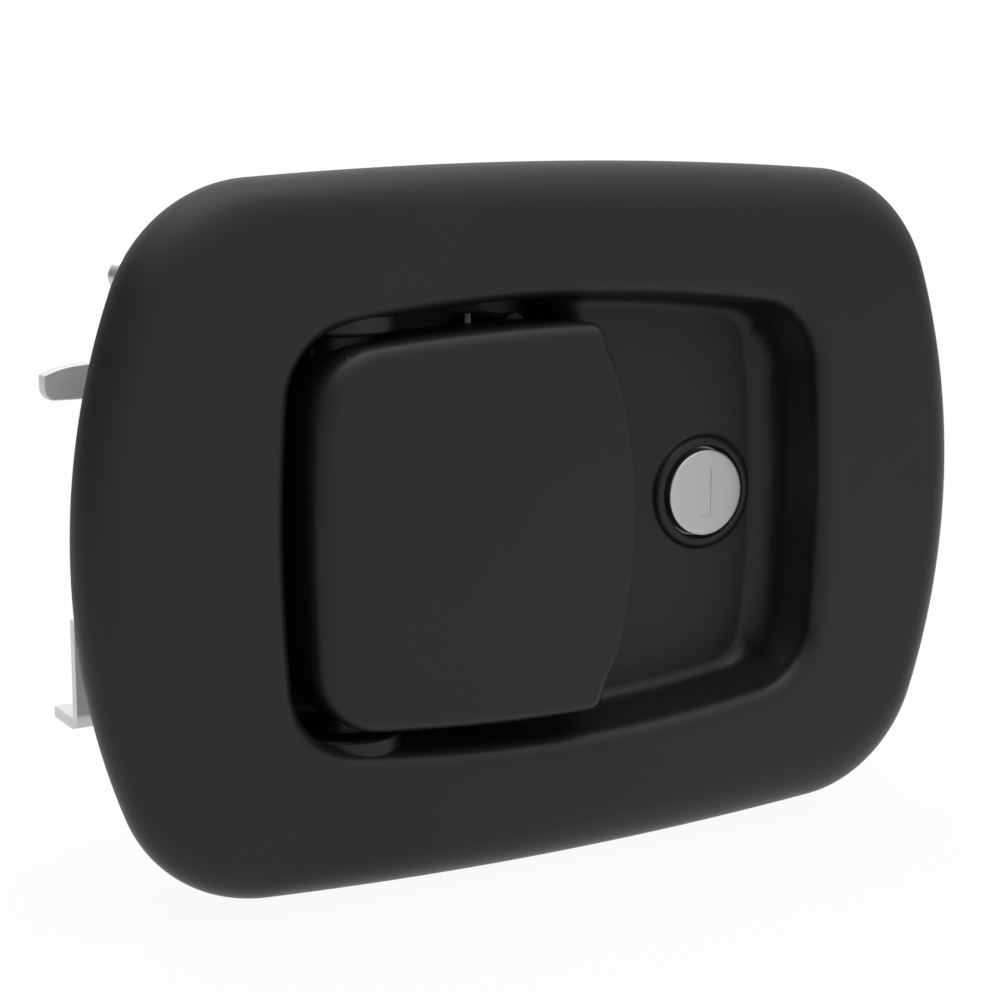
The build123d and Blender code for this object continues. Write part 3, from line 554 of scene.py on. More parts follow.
tangent = np.roll(guide, -1, axis=0) - np.roll(guide, 1, axis=0)
facing_up = (tangent[:, 0] / np.hypot(*tangent.T)) ** 2
rim_x = LOCK_X + wall_top * ray_across
foot = reach(pan_foot_outline())
drop = wall_top - foot
lean = LEAN_SHARE * smooth((rim_x - LEAN_FROM) / LEAN_OVER) * drop
foot_height = np.clip(drop - lean, *FOOT_HEIGHTS)
edge = np.minimum(arc_reach(ARC_RADIUS), foot)
crosses = edge < foot - MEETING
foot_depth = np.where(crosses, POCKET_DEPTH, floor_depth(foot))
print("rays into the pocket:", int(crosses.sum()))

# %% [markdown]
# The front of the flange is a quarter ellipse that rolls in from the edge, and
# a very slow crown on top of it. With s the share of the way from the edge to
# the rim and t the share of the roll, the height is
# a sqrt(1 - (1 - t)^2) + b (1 - (1 - s)^2). The roll reaches further in at the
# top and bottom than at the sides. The rows start close together and spread.


# %% Stations of the front
def onward(count):
    """A column of even fractions up to 1; the 0 is left out, since the last row already has it."""
    return np.linspace(0, 1, count + 1)[1:, None]


def quarter(count):
    """A column of even angles of a quarter turn, without the 0."""
    return onward(count) * pi / 2


section = []


def add_stations(name, radius, depth):
    """Adds rows to the section: the reach along the rays and the depth."""
    radius, depth = np.broadcast_arrays(radius, depth, np.zeros((1, COLUMNS)))[:2]
    section.append((radius, depth))
    print(f"  {name}: {len(radius)} rows")


BACK_EDGE, ROLL_START = -0.25, -0.5
SIDE_ROLL, TOP_ROLL = 7.0, 11.0
ROLL_SHARE, CROWN_SHARE = 0.93, 0.07
share = np.linspace(0, 1, 40)[:, None] ** 2
flange_width = flange_reach(0.0) - pan_reach(-RIM_RADIUS)
rolled = np.clip(share * flange_width / between(SIDE_ROLL, TOP_ROLL, facing_up), 0, 1)
crown = ROLL_SHARE * np.sqrt(1 - (1 - rolled) ** 2) + CROWN_SHARE * (1 - (1 - share) ** 2)
add_stations("back edge", flange_reach(0.0), BACK_EDGE)
across_flange = between(flange_reach(0.0), pan_reach(-RIM_RADIUS), share)
add_stations("crown", across_flange, between(ROLL_START, RIM_DEPTH, crown))
around = quarter(10)
across_rim = pan_reach(RIM_RADIUS * (np.sin(around) - 1))
add_stations("rim", across_rim, RIM_DEPTH + RIM_RADIUS * (1 - np.cos(around)))
down = onward(8)
wall_depth = between(RIM_DEPTH + RIM_RADIUS, foot_depth - foot_height, down)
add_stations("wall", wall_top - lean * down, wall_depth)
around = quarter(12)
across_foot = wall_top - lean - (drop - lean) * (1 - np.cos(around))
add_stations("foot", across_foot, foot_depth - foot_height * (1 - np.sin(around)))

# %% [markdown]
# From the foot of the wall the section runs over the pocket's floor, up the
# step, over the roll and across the scoop to the ring round the lock. The ring
# is low and rounded, its bore leaves half a millimetre round the plug, and
# behind it a collar holds the barrel.

# %% Floor, lock ring and bore
add_stations("pocket floor", between(foot, edge, onward(8)), foot_depth)
step_top = np.where(crosses, SCOOP_DEPTH + ROLL, foot_depth)
add_stations("step", edge, between(foot_depth, step_top, onward(4)))
roll_out = np.minimum(arc_reach(ARC_RADIUS + ROLL * (1 - np.cos(quarter(14)))), foot)
add_stations("roll-down", roll_out, floor_depth(roll_out))
RING_FOOT, RING_TOP, BORE, BARREL_HOLE, COLLAR = 10.8, 9.4, 8.7, 7.1, 12.0
FILLET = 0.7  # the ring's fillet starts this far out on the scoop's floor
scoop = between(roll_out[-1:], RING_FOOT + FILLET, onward(11))
add_stations("scoop floor", scoop, floor_depth(scoop))
ring_profile = np.array(  # distance from the lock's axis, and depth
    [
        (RING_FOOT + 0.35, 6.95), (RING_FOOT + 0.15, 6.85), (RING_FOOT, 6.65), (RING_FOOT - 0.25, 6.15),
        (RING_TOP + 0.8, 5.8), (RING_TOP + 0.4, 5.65), (RING_TOP, 5.6),
        (BORE + 0.3, 5.72), (BORE + 0.08, 5.95), (BORE, 6.2), (BORE, 7.0), (BORE, 9.8),
        (BARREL_HOLE, 9.8), (BARREL_HOLE, 12.0),
        (COLLAR - 0.4, 12.0), (COLLAR, 11.6), (COLLAR, 9.6),
    ]
)
add_stations("lock ring and bore", ring_profile[:, :1], ring_profile[:, 1:])

# %% [markdown]
# The rear follows the same rooms one wall thickness further out, and ends in
# the shallow recess that holds the gasket.

# %% Stations of the rear
SCOOP_BACK, POCKET_BACK = SCOOP_DEPTH + WALL, POCKET_DEPTH + WALL
BACK_ROUND, STEP_BREAK = 1.4, 0.8
RECESS_INSET, RECESS_DEPTH, LIP_BREAK = 6.0, -3.0, 0.3
outer = pan_reach(-WALL)[0]
outer_end = outer - BACK_ROUND
outer_edge = np.minimum(arc_reach(ARC_RADIUS + WALL), outer_end)
outer_crosses = outer_edge < outer_end - MEETING
back_depth = np.where(outer_crosses, POCKET_BACK, SCOOP_BACK)
step_break = STEP_BREAK * outer_crosses
add_stations("scoop back", between(COLLAR, outer_edge, onward(9)), SCOOP_BACK)
add_stations("step back", outer_edge, between(SCOOP_BACK, back_depth - step_break, onward(3)))
add_stations("step edge", outer_edge + step_break, back_depth)
add_stations("pocket back", between(outer_edge + step_break, outer_end, onward(6)), back_depth)
around = quarter(5)
across_round = outer - BACK_ROUND * (1 - np.sin(around))
add_stations("back round", across_round, back_depth - BACK_ROUND * (1 - np.cos(around)))
add_stations("outer wall", outer, between(back_depth - BACK_ROUND, RECESS_DEPTH, onward(6)))
add_stations("recess", between(outer, flange_reach(RECESS_INSET), onward(5)), RECESS_DEPTH)
add_stations("recess wall", flange_reach(RECESS_INSET), -LIP_BREAK)
lip_insets = np.array([[RECESS_INSET - LIP_BREAK], [LIP_BREAK]])
add_stations("lip", flange_reach(lip_insets), 0.0)

# %% Housing skin
radius = np.concatenate([rows for rows, _ in section])
depth = np.concatenate([rows for _, rows in section])
housing_table = np.stack([LOCK_X + radius * ray_across, depth, radius * ray_up], axis=-1)
housing_shells = [shell(housing_table, ring_rows=True)]
print("housing table:", housing_table.shape)


# %% [markdown]
# Bosses, posts and ledges grow out of the casting. A round one is a profile
# turned about its axis, and a flat one is an outline carried along it. Their
# ends are sunk in the wall that carries them, as metal that flows together.


# %% Turned and carried shapes
def turned(profile, centre, axis, count=64):
    """Rows of a profile (radius, place along the axis) turned about an axis y or z."""
    angle = np.linspace(0, 2 * pi, count, endpoint=False)
    radius, along = np.asarray(profile, float).T[:, :, None]
    first, second = centre[0] + radius * np.cos(angle), centre[1] + radius * np.sin(angle)
    along = np.broadcast_to(along, first.shape)
    return np.stack([first, along, second] if axis == "y" else [first, second, along], axis=-1)


def rod(centre, axis, radius, start, end, edge=0.3, count=64):
    """Round bar with small chamfers, closed at both ends."""
    profile = [(0, start), (radius - edge, start), (radius, start + edge)]
    profile += [(radius, end - edge), (radius - edge, end), (0, end)]
    return shell(turned(profile, centre, axis, count))


def carried(outline, axis, start, end, edge=0.25):
    """A flat outline carried along y or z, with chamfers made by shrinking it about its middle."""
    outline = np.asarray(outline, float)
    middle = outline.mean(axis=0)
    size = np.abs(outline - middle).max(axis=0)
    small = middle + (outline - middle) * (1 - edge / size)
    rows = [(middle + 0 * outline, start), (small, start), (outline, start + edge)]
    rows += [(outline, end - edge), (small, end), (middle + 0 * outline, end)]
    table = [np.insert(ring, 1 if axis == "y" else 2, along, axis=1) for ring, along in rows]
    return shell(np.stack(table))


def rectangle(left, right, bottom, top):
    """Four corners, anticlockwise."""
    return [(left, bottom), (right, bottom), (right, top), (left, top)]


def span(side, near, far):
    """A span of heights above the middle (1) or below it (-1), from low to high."""
    return sorted((side * near, side * far))


# %% Bosses, posts and ledges
HINGE = (-39.0, 3.0)
HINGE_BOSS, BOSS_FACE, PAD_FACE = 9.2, 34.5, 43.0
LEDGE_ACROSS, LEDGE_UP, LEDGE_DEPTHS = (-6.6, -1.4), (31.5, 34.8), (7.8, 21.0)
POSTS = [(-51.0, 42.0), (-51.0, -42.0), (4.0, 45.0), (4.0, -45.0)]
POST_RADIUS, POST_DEPTHS = 4.5, (-2.9, 24.0)
STUDS = [(x, z) for x in (-72.0, 72.0) for z in (-44.0, 44.0)]
PAD_RADIUS, PAD_DEPTHS = 6.0, (-3.5, 0.0)
HOUSING_SHARP = 38  # degrees between two faces past which the edge of the casting stays sharp
for side in (-1, 1):
    boss = span(side, BOSS_FACE, PAD_FACE)
    housing_shells.append(rod(HINGE, "z", HINGE_BOSS, *boss, edge=0.4, count=96))
    ledge = rectangle(*LEDGE_ACROSS, *span(side, *LEDGE_UP))
    housing_shells.append(carried(ledge, "y", *LEDGE_DEPTHS))
housing_shells += [rod(post, "y", POST_RADIUS, *POST_DEPTHS) for post in POSTS]
housing_shells += [rod(stud, "y", PAD_RADIUS, *PAD_DEPTHS) for stud in STUDS]
housing_mesh = make_mesh("housing_skin", housing_shells, HOUSING_SHARP)
housing_skin = show("housing_skin", housing_mesh, "base", "black_paint", black_paint, "housing")


# %% [markdown]
# The finger behind the hinge reaches through a slot in the pocket's floor. A
# slot is cut most safely as a boolean with a plain block, which is then
# applied and thrown away.


# %% Cut the finger's slot
def cut_away(piece, cutter_shell, sharp_angle):
    """Takes a closed block out of a piece and keeps the result as its mesh."""
    cutter = bpy.data.objects.new("cutter", make_mesh("cutter", [cutter_shell], 30))
    bpy.context.scene.collection.objects.link(cutter)
    modifier = piece.modifiers.new("slot", "BOOLEAN")
    modifier.operation, modifier.solver, modifier.object = "DIFFERENCE", "MANIFOLD", cutter
    ready = piece.evaluated_get(bpy.context.evaluated_depsgraph_get())
    mesh = bpy.data.meshes.new_from_object(ready)
    piece.modifiers.remove(modifier)
    material = piece.data.materials[0]
    piece.data = mesh
    mesh.materials.clear()
    mesh.materials.append(material)
    welded(mesh, sharp_angle)
    cutter_mesh = cutter.data
    bpy.data.objects.remove(cutter)
    bpy.data.meshes.remove(cutter_mesh)
    print(f"{piece.name} after the cut: {len(mesh.polygons)} faces")


FINGER_SLOT, SLOT_DEPTHS = rectangle(-46.2, -25.6, 24.8, 32.1), (18.0, 24.0)
cut_away(housing_skin, carried(FINGER_SLOT, "y", *SLOT_DEPTHS), HOUSING_SHARP)

# %% [markdown]
# ## The paddle
#
# The paddle is a moulded cover with an arched outline. Its face is flat. At
# the left, where it turns in, the edge rolls down with a large radius, along
# the top and bottom with a smaller one, and the pulled edge is nearly sharp.
# A running mean over nine neighbours softens the change from one to the next.
# Rows of the table run from the middle of the face over the edge, down the
# skirt, round its foot and back up the inside.


# %% Paddle shell
PADDLE_FACE, PADDLE_WALL, PADDLE_REAR = -9.3, 2.4, 5.5
SKIRT_END, LIP_START, LIP_BACK = -4.0, 5.3, -5.9
PADDLE_LEFT, PADDLE_RIGHT, PADDLE_HALF_HEIGHT = -50.0, 12.3, 34.8
PADDLE_SIDE, PADDLE_TOP = 400.0, 389.0  # the pulled edge follows the pan's arc
LEFT_CORNER, LEFT_TIGHTEST, RIGHT_CORNER, RIGHT_TIGHTEST = 12.0, 0.8, 3.0, 0.3
PADDLE_COUNTS = (44, 22, 110, 34, 44)
PADDLE_LEVELS = np.arange(0.0, 9.0, 0.5)


def paddle_level(inset):
    """The paddle's outline, moved inwards by the same amount all round."""
    sides = (PADDLE_LEFT + inset, PADDLE_RIGHT - inset, PADDLE_HALF_HEIGHT - inset)
    arcs = (PADDLE_SIDE - inset, ARC_RADIUS - inset, PADDLE_TOP - inset)
    corners = (max(LEFT_CORNER - inset, LEFT_TIGHTEST), max(RIGHT_CORNER - inset, RIGHT_TIGHTEST))
    return arched(*sides, *arcs, *corners, PADDLE_COUNTS)


paddle_levels = np.stack([paddle_level(level) for level in PADDLE_LEVELS])


def paddle_outline(inset):
    """The paddle's outline, moved inwards; inset may differ from point to point."""
    inset = np.broadcast_to(inset, (paddle_levels.shape[1],))
    return at_inset(paddle_levels, PADDLE_LEVELS, inset)


TURN_FROM, TURN_OVER, TURN_LAST = 8.0, 58.0, 0.8  # x and distance of the turn in, and its last part
EDGE_RADIUS, TURN_GAIN, LAST_GAIN = 2.4, 0.3, 1.6
PULLED_FROM, PULLED_RADIUS, NEIGHBOURS = 8.2, 0.7, 9
rim = paddle_outline(0.0)
turned_in = np.clip((TURN_FROM - rim[:, 0]) / TURN_OVER, 0, 1)
edge_radius = EDGE_RADIUS + TURN_GAIN * turned_in + LAST_GAIN * smooth((turned_in - TURN_LAST) * 5)
edge_radius = np.where(rim[:, 0] > PULLED_FROM, PULLED_RADIUS, edge_radius)
edge_radius = np.convolve(np.tile(edge_radius, 3), np.ones(NEIGHBOURS) / NEIGHBOURS, "same")
edge_radius = edge_radius[len(rim) : 2 * len(rim)]


def skirt_back(across):
    """Depth of the skirt's foot: level on the left, rising to the lip on the right."""
    fraction = np.clip((across - SKIRT_END) / (LIP_START - SKIRT_END), 0, 1)
    return between(PADDLE_REAR, LIP_BACK, fraction)


def paddle_row(inset, depth):
    """One row of points at an inset of the outline and a depth."""
    ring = paddle_outline(inset)
    return np.stack([ring[:, 0], np.broadcast_to(depth, len(ring)), ring[:, 1]], axis=-1)


PADDLE_MIDDLE, FOOT_BREAK = -20.0, 0.3
middle = np.array([PADDLE_MIDDLE, PADDLE_FACE, 0.0])
brow = paddle_row(edge_radius, PADDLE_FACE)
rows = [between(middle, brow, fraction) for fraction in (0.0, 0.25, 0.5, 0.75, 0.92)]
for turn in np.linspace(0, pi / 2, 13):
    edge_depth = PADDLE_FACE + edge_radius * (1 - np.cos(turn))
    rows.append(paddle_row(edge_radius * (1 - np.sin(turn)), edge_depth))
skirt_foot = skirt_back(rim[:, 0])
for fraction in (0.34, 0.67):
    skirt_depth = between(PADDLE_FACE + edge_radius, skirt_foot - FOOT_BREAK, fraction)
    rows.append(paddle_row(0.0, skirt_depth))
rows += [paddle_row(0.0, skirt_foot - FOOT_BREAK), paddle_row(FOOT_BREAK, skirt_foot)]
rows.append(paddle_row(PADDLE_WALL - FOOT_BREAK, skirt_foot))
inner_depth = PADDLE_FACE + PADDLE_WALL
inner_foot = np.maximum(skirt_foot, inner_depth)
inner_round = np.minimum(np.maximum(edge_radius - PADDLE_WALL, 0.4), inner_foot - inner_depth)
for fraction in (0.08, 0.5):
    rows.append(paddle_row(PADDLE_WALL, between(inner_foot, inner_depth + inner_round, fraction)))
for turn in np.linspace(pi / 2, 0, 6):
    inset = PADDLE_WALL + inner_round * (1 - np.sin(turn))
    rows.append(paddle_row(inset, inner_depth + inner_round * (1 - np.cos(turn))))
inner_middle = np.array([PADDLE_MIDDLE, inner_depth, 0.0])
rows += [between(rows[-1], inner_middle, fraction) for fraction in (0.4, 1.0)]
paddle_shells = [shell(np.stack(rows))]
print("paddle table:", len(rows), "rows by", len(rim))

# %% [markdown]
# Behind the face there are three ribs, three ears that turn on the pin, and
# the finger. An ear is a disc with a web up to the face; its outline in plan
# is a half circle joined to a straight neck. A plain disc on the pin fills the
# way from each outer ear to the boss beside it.


# %% Ribs, ears and finger
EAR_RADIUS, NECK, ROOT = 5.2, 4.5, 0.6  # the root is how deep a web is sunk in the face
EARS, DISC = ((25.5, 31.3), (6.0, 13.4), (-31.3, -24.0)), (30.5, 34.2)
RIBS, RIB_RIGHT, RIB_HALF, RIB_HEIGHT = (-15.0, 0.0, 15.0), 5.4, 0.8, 3.0
hinge_x, hinge_y = HINGE
face_root = inner_depth - ROOT
half_turn = np.linspace(0, pi, 25)
ear_x, ear_y = hinge_x + EAR_RADIUS * np.cos(half_turn), hinge_y + EAR_RADIUS * np.sin(half_turn)
ear_neck = [(hinge_x - EAR_RADIUS, hinge_y - 1.6), (hinge_x - NECK, hinge_y - 2.8)]
ear_neck += [(hinge_x - NECK, face_root), (hinge_x + NECK, face_root)]
ear_neck += [(hinge_x + NECK, hinge_y - 2.8), (hinge_x + EAR_RADIUS, hinge_y - 1.6)]
ear_outline = np.concatenate([np.stack([ear_x, ear_y], axis=-1), ear_neck])
paddle_shells += [carried(ear_outline, "z", low, high) for low, high in EARS]
paddle_shells += [rod(HINGE, "z", EAR_RADIUS, *span(side, *DISC)) for side in (-1, 1)]
for z in RIBS:
    rib = rectangle(hinge_x + 0.5, RIB_RIGHT, z - RIB_HALF, z + RIB_HALF)
    paddle_shells.append(carried(rib, "y", face_root, inner_depth + RIB_HEIGHT, 0.2))
finger = [(-45.0, 3.0), (hinge_x + NECK, 3.0), (hinge_x, 15.0), (hinge_x, 33.6)]
finger += [(-39.6, 34.0), (-44.4, 34.0), (-45.0, 33.6)]
paddle_shells.append(carried(finger, "z", 26.0, 32.0))
paddle_mesh = make_mesh("paddle_skin", paddle_shells, 40)
show("paddle_skin", paddle_mesh, "paddle", "black_paint", black_paint, "paddle")

# %% [markdown]
# ## The key plug
#
# The plug is turned: a thin disc in front, a barrel behind it. Its keyway
# shows as a narrow upright groove with a short foot at its lower end. The
# groove is shallow, and it is cut with two thin blocks.

# %% Key plug
LOCK = (LOCK_X, 0.0)
plug_profile = [
    (0, 5.0), (3, 5.0), (6, 5.0), (7.7, 5.0), (7.92, 5.02), (8.08, 5.1), (8.18, 5.25), (8.2, 5.45),
    (8.2, 7.3), (7.9, 7.6), (5.5, 7.6), (5.5, 22.6), (5.2, 22.9), (0, 22.9),
]
GROOVE_FLOOR = 5.14
GROOVE = rectangle(LOCK_X + 0.6, LOCK_X + 1.15, -4.5, 4.4)
GROOVE_FOOT = rectangle(LOCK_X - 1.2, LOCK_X + 0.8, -4.5, -4.1)
tail = carried(rectangle(LOCK_X - 3, LOCK_X + 3, -3, 3), "y", 22.0, 25.2)
plug_mesh = make_mesh("plug_skin", [shell(turned(plug_profile, LOCK, "y", 128)), tail], 32)
plug_skin = show("plug_skin", plug_mesh, "plug", "lock_face", lock_face, "lock_plug")
for groove in (GROOVE, GROOVE_FOOT):
    cut_away(plug_skin, carried(groove, "y", 3.0, GROOVE_FLOOR, 0.05), 32)

# %% [markdown]
# ## Studs with threads
#
# A thread is a helix in disguise: the radius of the stud depends on the place
# along it and on the angle, r = R - h |saw(y / pitch - angle / turn)|, so one
# table of points gives the whole thread, and its depth fades out at both ends.


# %% Threaded studs
def threaded(centre, radius, start, end, pitch=1.0, height=0.55, count=48):
    """Round bar along y with a V thread that fades out at its ends."""
    along = np.arange(start, end + 0.01, pitch / 8)[:, None]
    angle = np.linspace(0, 2 * pi, count, endpoint=False)[None, :]
    phase = (along / pitch - angle / (2 * pi)) % 1.0
    fade = np.clip((along - start) / 1.2, 0, 1) * np.clip((end - along) / 0.2, 0, 1)
    chamfer = np.clip(1 - (end - along) / 0.8, 0, 1) * 0.7
    thread = np.minimum(radius - height * np.abs(2 * phase - 1) * fade, radius - chamfer)
    across, up = centre[0] + thread * np.cos(angle), centre[1] + thread * np.sin(angle)
    rows = np.stack([across, along + 0 * angle, up], -1)
    first, last = (row * [0, 1, 0] + [centre[0], 0, centre[1]] for row in (rows[:1], rows[-1:]))
    return shell(np.concatenate([first, rows, last]))


stud_mesh = make_mesh("threaded_studs", [threaded(stud, 3.0, -1.0, 18.0) for stud in STUDS], 50)
show("threaded_studs", stud_mesh, "base", "zinc_plated", bright_steel, "mounting_studs")


# %% [markdown]
# ## The mechanism
#
# The plates, levers, pins and springs already have their true shape in the
# working model. Its mesh is a set of loose triangles, so each piece is a
# copy: welded, and its round faces shaded smooth. Where a width is given, its
# flat faces are joined again and its edges broken by a small bevel. Sharp edges
# never catch the light, and real stamped metal always has a small radius.


# %% Dressed copies
def dressed(node, name, slot, material, bevel, sharp_angle=30):
    """A welded copy of a node, with small bevels where a width is given, standing for the node."""
    source = frame["nodes"][node]
    mesh = source.data.copy()
    with reworking(mesh, sharp_angle) as work:
        bmesh.ops.remove_doubles(work, verts=work.verts, dist=2 * WELD)
        if bevel:
            flat = radians(1.0)
            bmesh.ops.dissolve_limit(work, angle_limit=flat, verts=work.verts, edges=work.edges)
    piece = show(name, mesh, source["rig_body"], slot, material, node)
    if bevel:
        rounding = piece.modifiers.new("rounding", "BEVEL")
        rounding.width = bevel * MM
        rounding.segments = 2
        rounding.limit_method = "ANGLE"
        rounding.angle_limit = radians(50)
        rounding.harden_normals = True
    return piece


dressed("mechanism_plate", "mechanism_plate_zinc", "zinc_plated", zinc_plate, 0.22)
lever_plate = dressed("lever", "lever_zinc", "zinc_plated", zinc_plate, 0.25)
dressed("lock_slide", "lock_slide_zinc", "zinc_plated", zinc_plate, 0.15)
dressed("lock_cam", "lock_cam_zinc", "zinc_plated", zinc_plate, 0.15)
dressed("lock_nut", "lock_nut_zinc", "zinc_plated", bright_steel, 0.25)
dressed("plate_screws", "plate_screws_zinc", "zinc_plated", bright_steel, 0.15)
dressed("cam_screw", "cam_screw_zinc", "zinc_plated", bright_steel, 0.1)
dressed("slide_rivets", "slide_rivets_zinc", "zinc_plated", bright_steel, 0)
dressed("lever_pivot", "lever_pivot_zinc", "zinc_plated", bright_steel, 0)
dressed("hinge_pin", "hinge_pin_steel", "zinc_plated", bright_steel, 0)
dressed("hinge_clip", "hinge_clip_steel", "spring_steel", spring_steel, 0.08)
dressed("lever_clip", "lever_clip_steel", "spring_steel", spring_steel, 0.08)
dressed("paddle_spring", "paddle_spring_wire", "spring_steel", spring_steel, 0, 60)
dressed("lever_spring", "lever_spring_wire", "spring_steel", spring_steel, 0, 60)
dressed("slide_washers", "slide_washers_nylon", "nylon", nylon, 0.1)
dressed("lever_washer", "lever_washer_nylon", "nylon", nylon, 0.08)
dressed("lock_body", "lock_body_cast", "zinc_cast", zinc_cast, 0.12)
dressed("lock_seal", "lock_seal_rubber", "rubber", rubber, 0)
dressed("stop_pads", "stop_pads_rubber", "rubber", rubber, 0.2)
dressed("lock_wafers", "lock_wafers_brass", "brass_parts", brass, 0)
gasket_foam = dressed("gasket", "gasket_foam", "foam", foam, 0.3)

# %% [markdown]
# The lever's tongue sticks out past the flange, so its stamped outline shows.
# The plate is cut off short of its nose and closed, and a nose with an arched
# top, a blunt end and a clipped corner overlaps the cut.


# %% Tongue of the lever
def closed_at(mesh, across):
    """Cuts off all that lies left of a plane across x, and closes the cut with a face."""
    with reworking(mesh, 30) as work:
        whole = [*work.verts, *work.edges, *work.faces]
        plane = {"plane_co": (across * MM, 0, 0), "plane_no": (-1, 0, 0)}
        cut = bmesh.ops.bisect_plane(work, geom=whole, **plane, clear_outer=True)["geom_cut"]
        edges = [item for item in cut if isinstance(item, bmesh.types.BMEdge)]
        bmesh.ops.edgeloop_fill(work, edges=edges)
        bmesh.ops.recalc_face_normals(work, faces=work.faces)


closed_at(lever_plate.data, -70.0)
NOSE_START, NOSE_LENGTH, NOSE_TOP, NOSE_DROP = -69.0, 14.2, 28.75, 1.7
arch = np.linspace(0, 1, 14)
nose_top = np.stack([NOSE_START - NOSE_LENGTH * arch, NOSE_TOP - NOSE_DROP * arch**4], axis=-1)
nose_end = [(-83.3, 26.8), (-83.3, 24.5), (-83.0, 23.7), (-82.4, 23.0), (-81.8, 22.8), (-69.0, 22.7)]
nose = carried(np.concatenate([nose_top, nose_end]), "y", 26.5, 29.5, 0.22)
tongue_mesh = make_mesh("lever_tongue", [nose], 30)
show("lever_tongue", tongue_mesh, "lever", "zinc_plated", zinc_plate)

# %% [markdown]
# ## Stage and light
#
# Black paint is drawn by what it mirrors, so the stage is made of what mirrors
# see, and the camera is shown plain white instead. The sky grows brighter from
# the horizon upwards, which lifts the top edges, and darker at the far left,
# so that the face turned that way stays deep. The floor is pale, and for mirrors
# it carries a painted pool of light: it glows bright round the latch and dimmer
# further out. Light path nodes tell the kinds of ray apart. Where the camera
# looks at the floor, a small share of the lit surface is left in, and there the
# shadow shows.


# %% Floor and world
FLOOR_GAP, FLOOR_HALF = 0.0005, 1.6
CAMERA_WHITE = 0.93
# A painted pool of light on the floor, seen only by mirrors: its glow falls from the first strength to
# the second between these two distances.
PAINTED_POOL_REACH, PAINTED_POOL_GLOW = (0.12, 0.40), (1.0, 0.35)  # distances in metres, and the white there
SKY_UP, SKY_UP_LIGHT = (0.0, 1.0), (0.46, 1.75)  # height of the direction, and the light there
SKY_LEFT, SKY_LEFT_LIGHT = (-0.95, -0.3), (0.35, 1.0)


def send_mixed(nodes, links, share, first, second, output):
    """Sends two shaders to the output, mixed by a share from 0 (first) to 1 (second)."""
    mix = nodes.new("ShaderNodeMixShader")
    links.new(share, mix.inputs["Fac"])
    links.new(first, mix.inputs[1])
    links.new(second, mix.inputs[2])
    links.new(mix.outputs["Shader"], nodes[output].inputs["Surface"])


def pale_stage_material():
    """Nearly white for the camera, a painted pool of light for mirrors, and pale grey for other light.
    """
    material, nodes, links, shader = new_material("pale_floor")
    shader.inputs["Base Color"].default_value = (0.6, 0.6, 0.6, 1)
    shader.inputs["Roughness"].default_value = 0.9
    shader.inputs["Specular IOR Level"].default_value = 0.1
    glow = nodes.new("ShaderNodeEmission")
    glow.inputs["Color"].default_value = (1, 1, 1, 1)
    glow.inputs["Strength"].default_value = 1.0
    path = nodes.new("ShaderNodeLightPath")
    place = nodes.new("ShaderNodeTexCoord")
    distance = nodes.new("ShaderNodeVectorMath")
    distance.operation = "LENGTH"
    links.new(place.outputs["Object"], distance.inputs[0])
    # The painted pool of light: the floor glows for glossy rays, brighter near its middle.
    painted_pool_glow = ranged(nodes, links, distance.outputs["Value"], PAINTED_POOL_REACH, PAINTED_POOL_GLOW)
    mirrored = worked_out(nodes, links, "MULTIPLY", path.outputs["Is Glossy Ray"], painted_pool_glow)
    direct = worked_out(nodes, links, "MULTIPLY", path.outputs["Is Camera Ray"], CAMERA_WHITE)
    seen = worked_out(nodes, links, "MAXIMUM", direct, mirrored)
    send_mixed(nodes, links, seen, shader.outputs["BSDF"], glow.outputs["Emission"], "Material Output")
    return material


floor_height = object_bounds()[0].z - FLOOR_GAP
floor_mesh = bpy.data.meshes.new("floor")
corners = np.array([(-1, -1), (1, -1), (1, 1), (-1, 1)]) * FLOOR_HALF
floor_mesh.from_pydata(np.insert(corners, 2, floor_height, axis=1).tolist(), [], [(0, 1, 2, 3)])
floor_mesh.materials.append(pale_stage_material())
floor = bpy.data.objects.new("floor", floor_mesh)
bpy.context.scene.collection.objects.link(floor)
print("floor at", round(floor_height, 4))

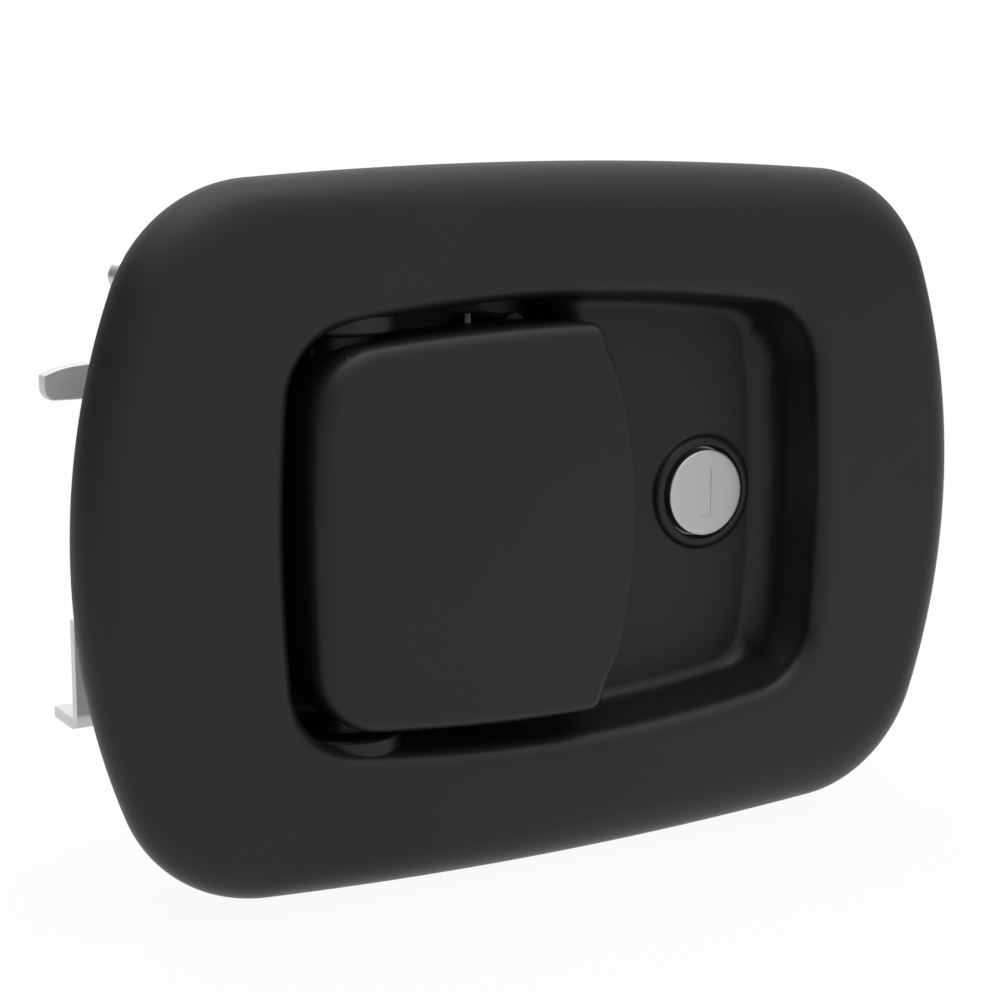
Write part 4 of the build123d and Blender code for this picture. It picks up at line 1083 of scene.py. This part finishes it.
# %% World
world = bpy.data.worlds.new("studio")
bpy.context.scene.world = world
world.use_nodes = True
nodes, links = world.node_tree.nodes, world.node_tree.links
fill = nodes["Background"]
fill.inputs["Color"].default_value = (1, 1, 1, 1)
direction = nodes.new("ShaderNodeTexCoord")
axes = nodes.new("ShaderNodeSeparateXYZ")
links.new(direction.outputs["Generated"], axes.inputs["Vector"])
upward = ranged(nodes, links, axes.outputs["Z"], SKY_UP, SKY_UP_LIGHT)
leftward = ranged(nodes, links, axes.outputs["X"], SKY_LEFT, SKY_LEFT_LIGHT)
links.new(worked_out(nodes, links, "MULTIPLY", upward, leftward), fill.inputs["Strength"])
backdrop = nodes.new("ShaderNodeBackground")
backdrop.inputs["Color"].default_value = (1, 1, 1, 1)
backdrop.inputs["Strength"].default_value = 1.0
path = nodes.new("ShaderNodeLightPath").outputs
seen = worked_out(nodes, links, "MAXIMUM", path["Is Camera Ray"], path["Is Transmission Ray"])
lights = (fill.outputs["Background"], backdrop.outputs["Background"])
send_mixed(nodes, links, seen, *lights, "World Output")
print("sky:", SKY_UP_LIGHT, "upwards, times", SKY_LEFT_LIGHT, "from the left")

# %% [markdown]
# Two soft boxes of one size add what the sky leaves out. The strong one above
# draws the bright line along the top edges, and the weak one in front, a
# little to the right, lights the face that is turned to the viewer.


# %% Lamps
def soft_box(name, place, power, size=0.7):
    """A square lamp that looks at the latch."""
    lamp = bpy.data.objects.new(name, bpy.data.lights.new(name, "AREA"))
    lamp.data.shape = "SQUARE"
    lamp.data.size = size
    lamp.data.energy = power
    lamp.location = place
    lamp.rotation_euler = (-Vector(place)).to_track_quat("-Z", "Y").to_euler()
    bpy.context.scene.collection.objects.link(lamp)
    print("lamp:", name, "size", size, "power", power)


soft_box("top_box", (-0.10, -0.10, 0.80), 2.0)
soft_box("front_box", (0.25, -0.90, 0.10), 0.7)

# %% [markdown]
# ## Finish
#
# The view stays at its plain settings, so that a colour renders as it is
# written.

# %% Finish
bpy.context.scene.view_settings.view_transform = "Standard"
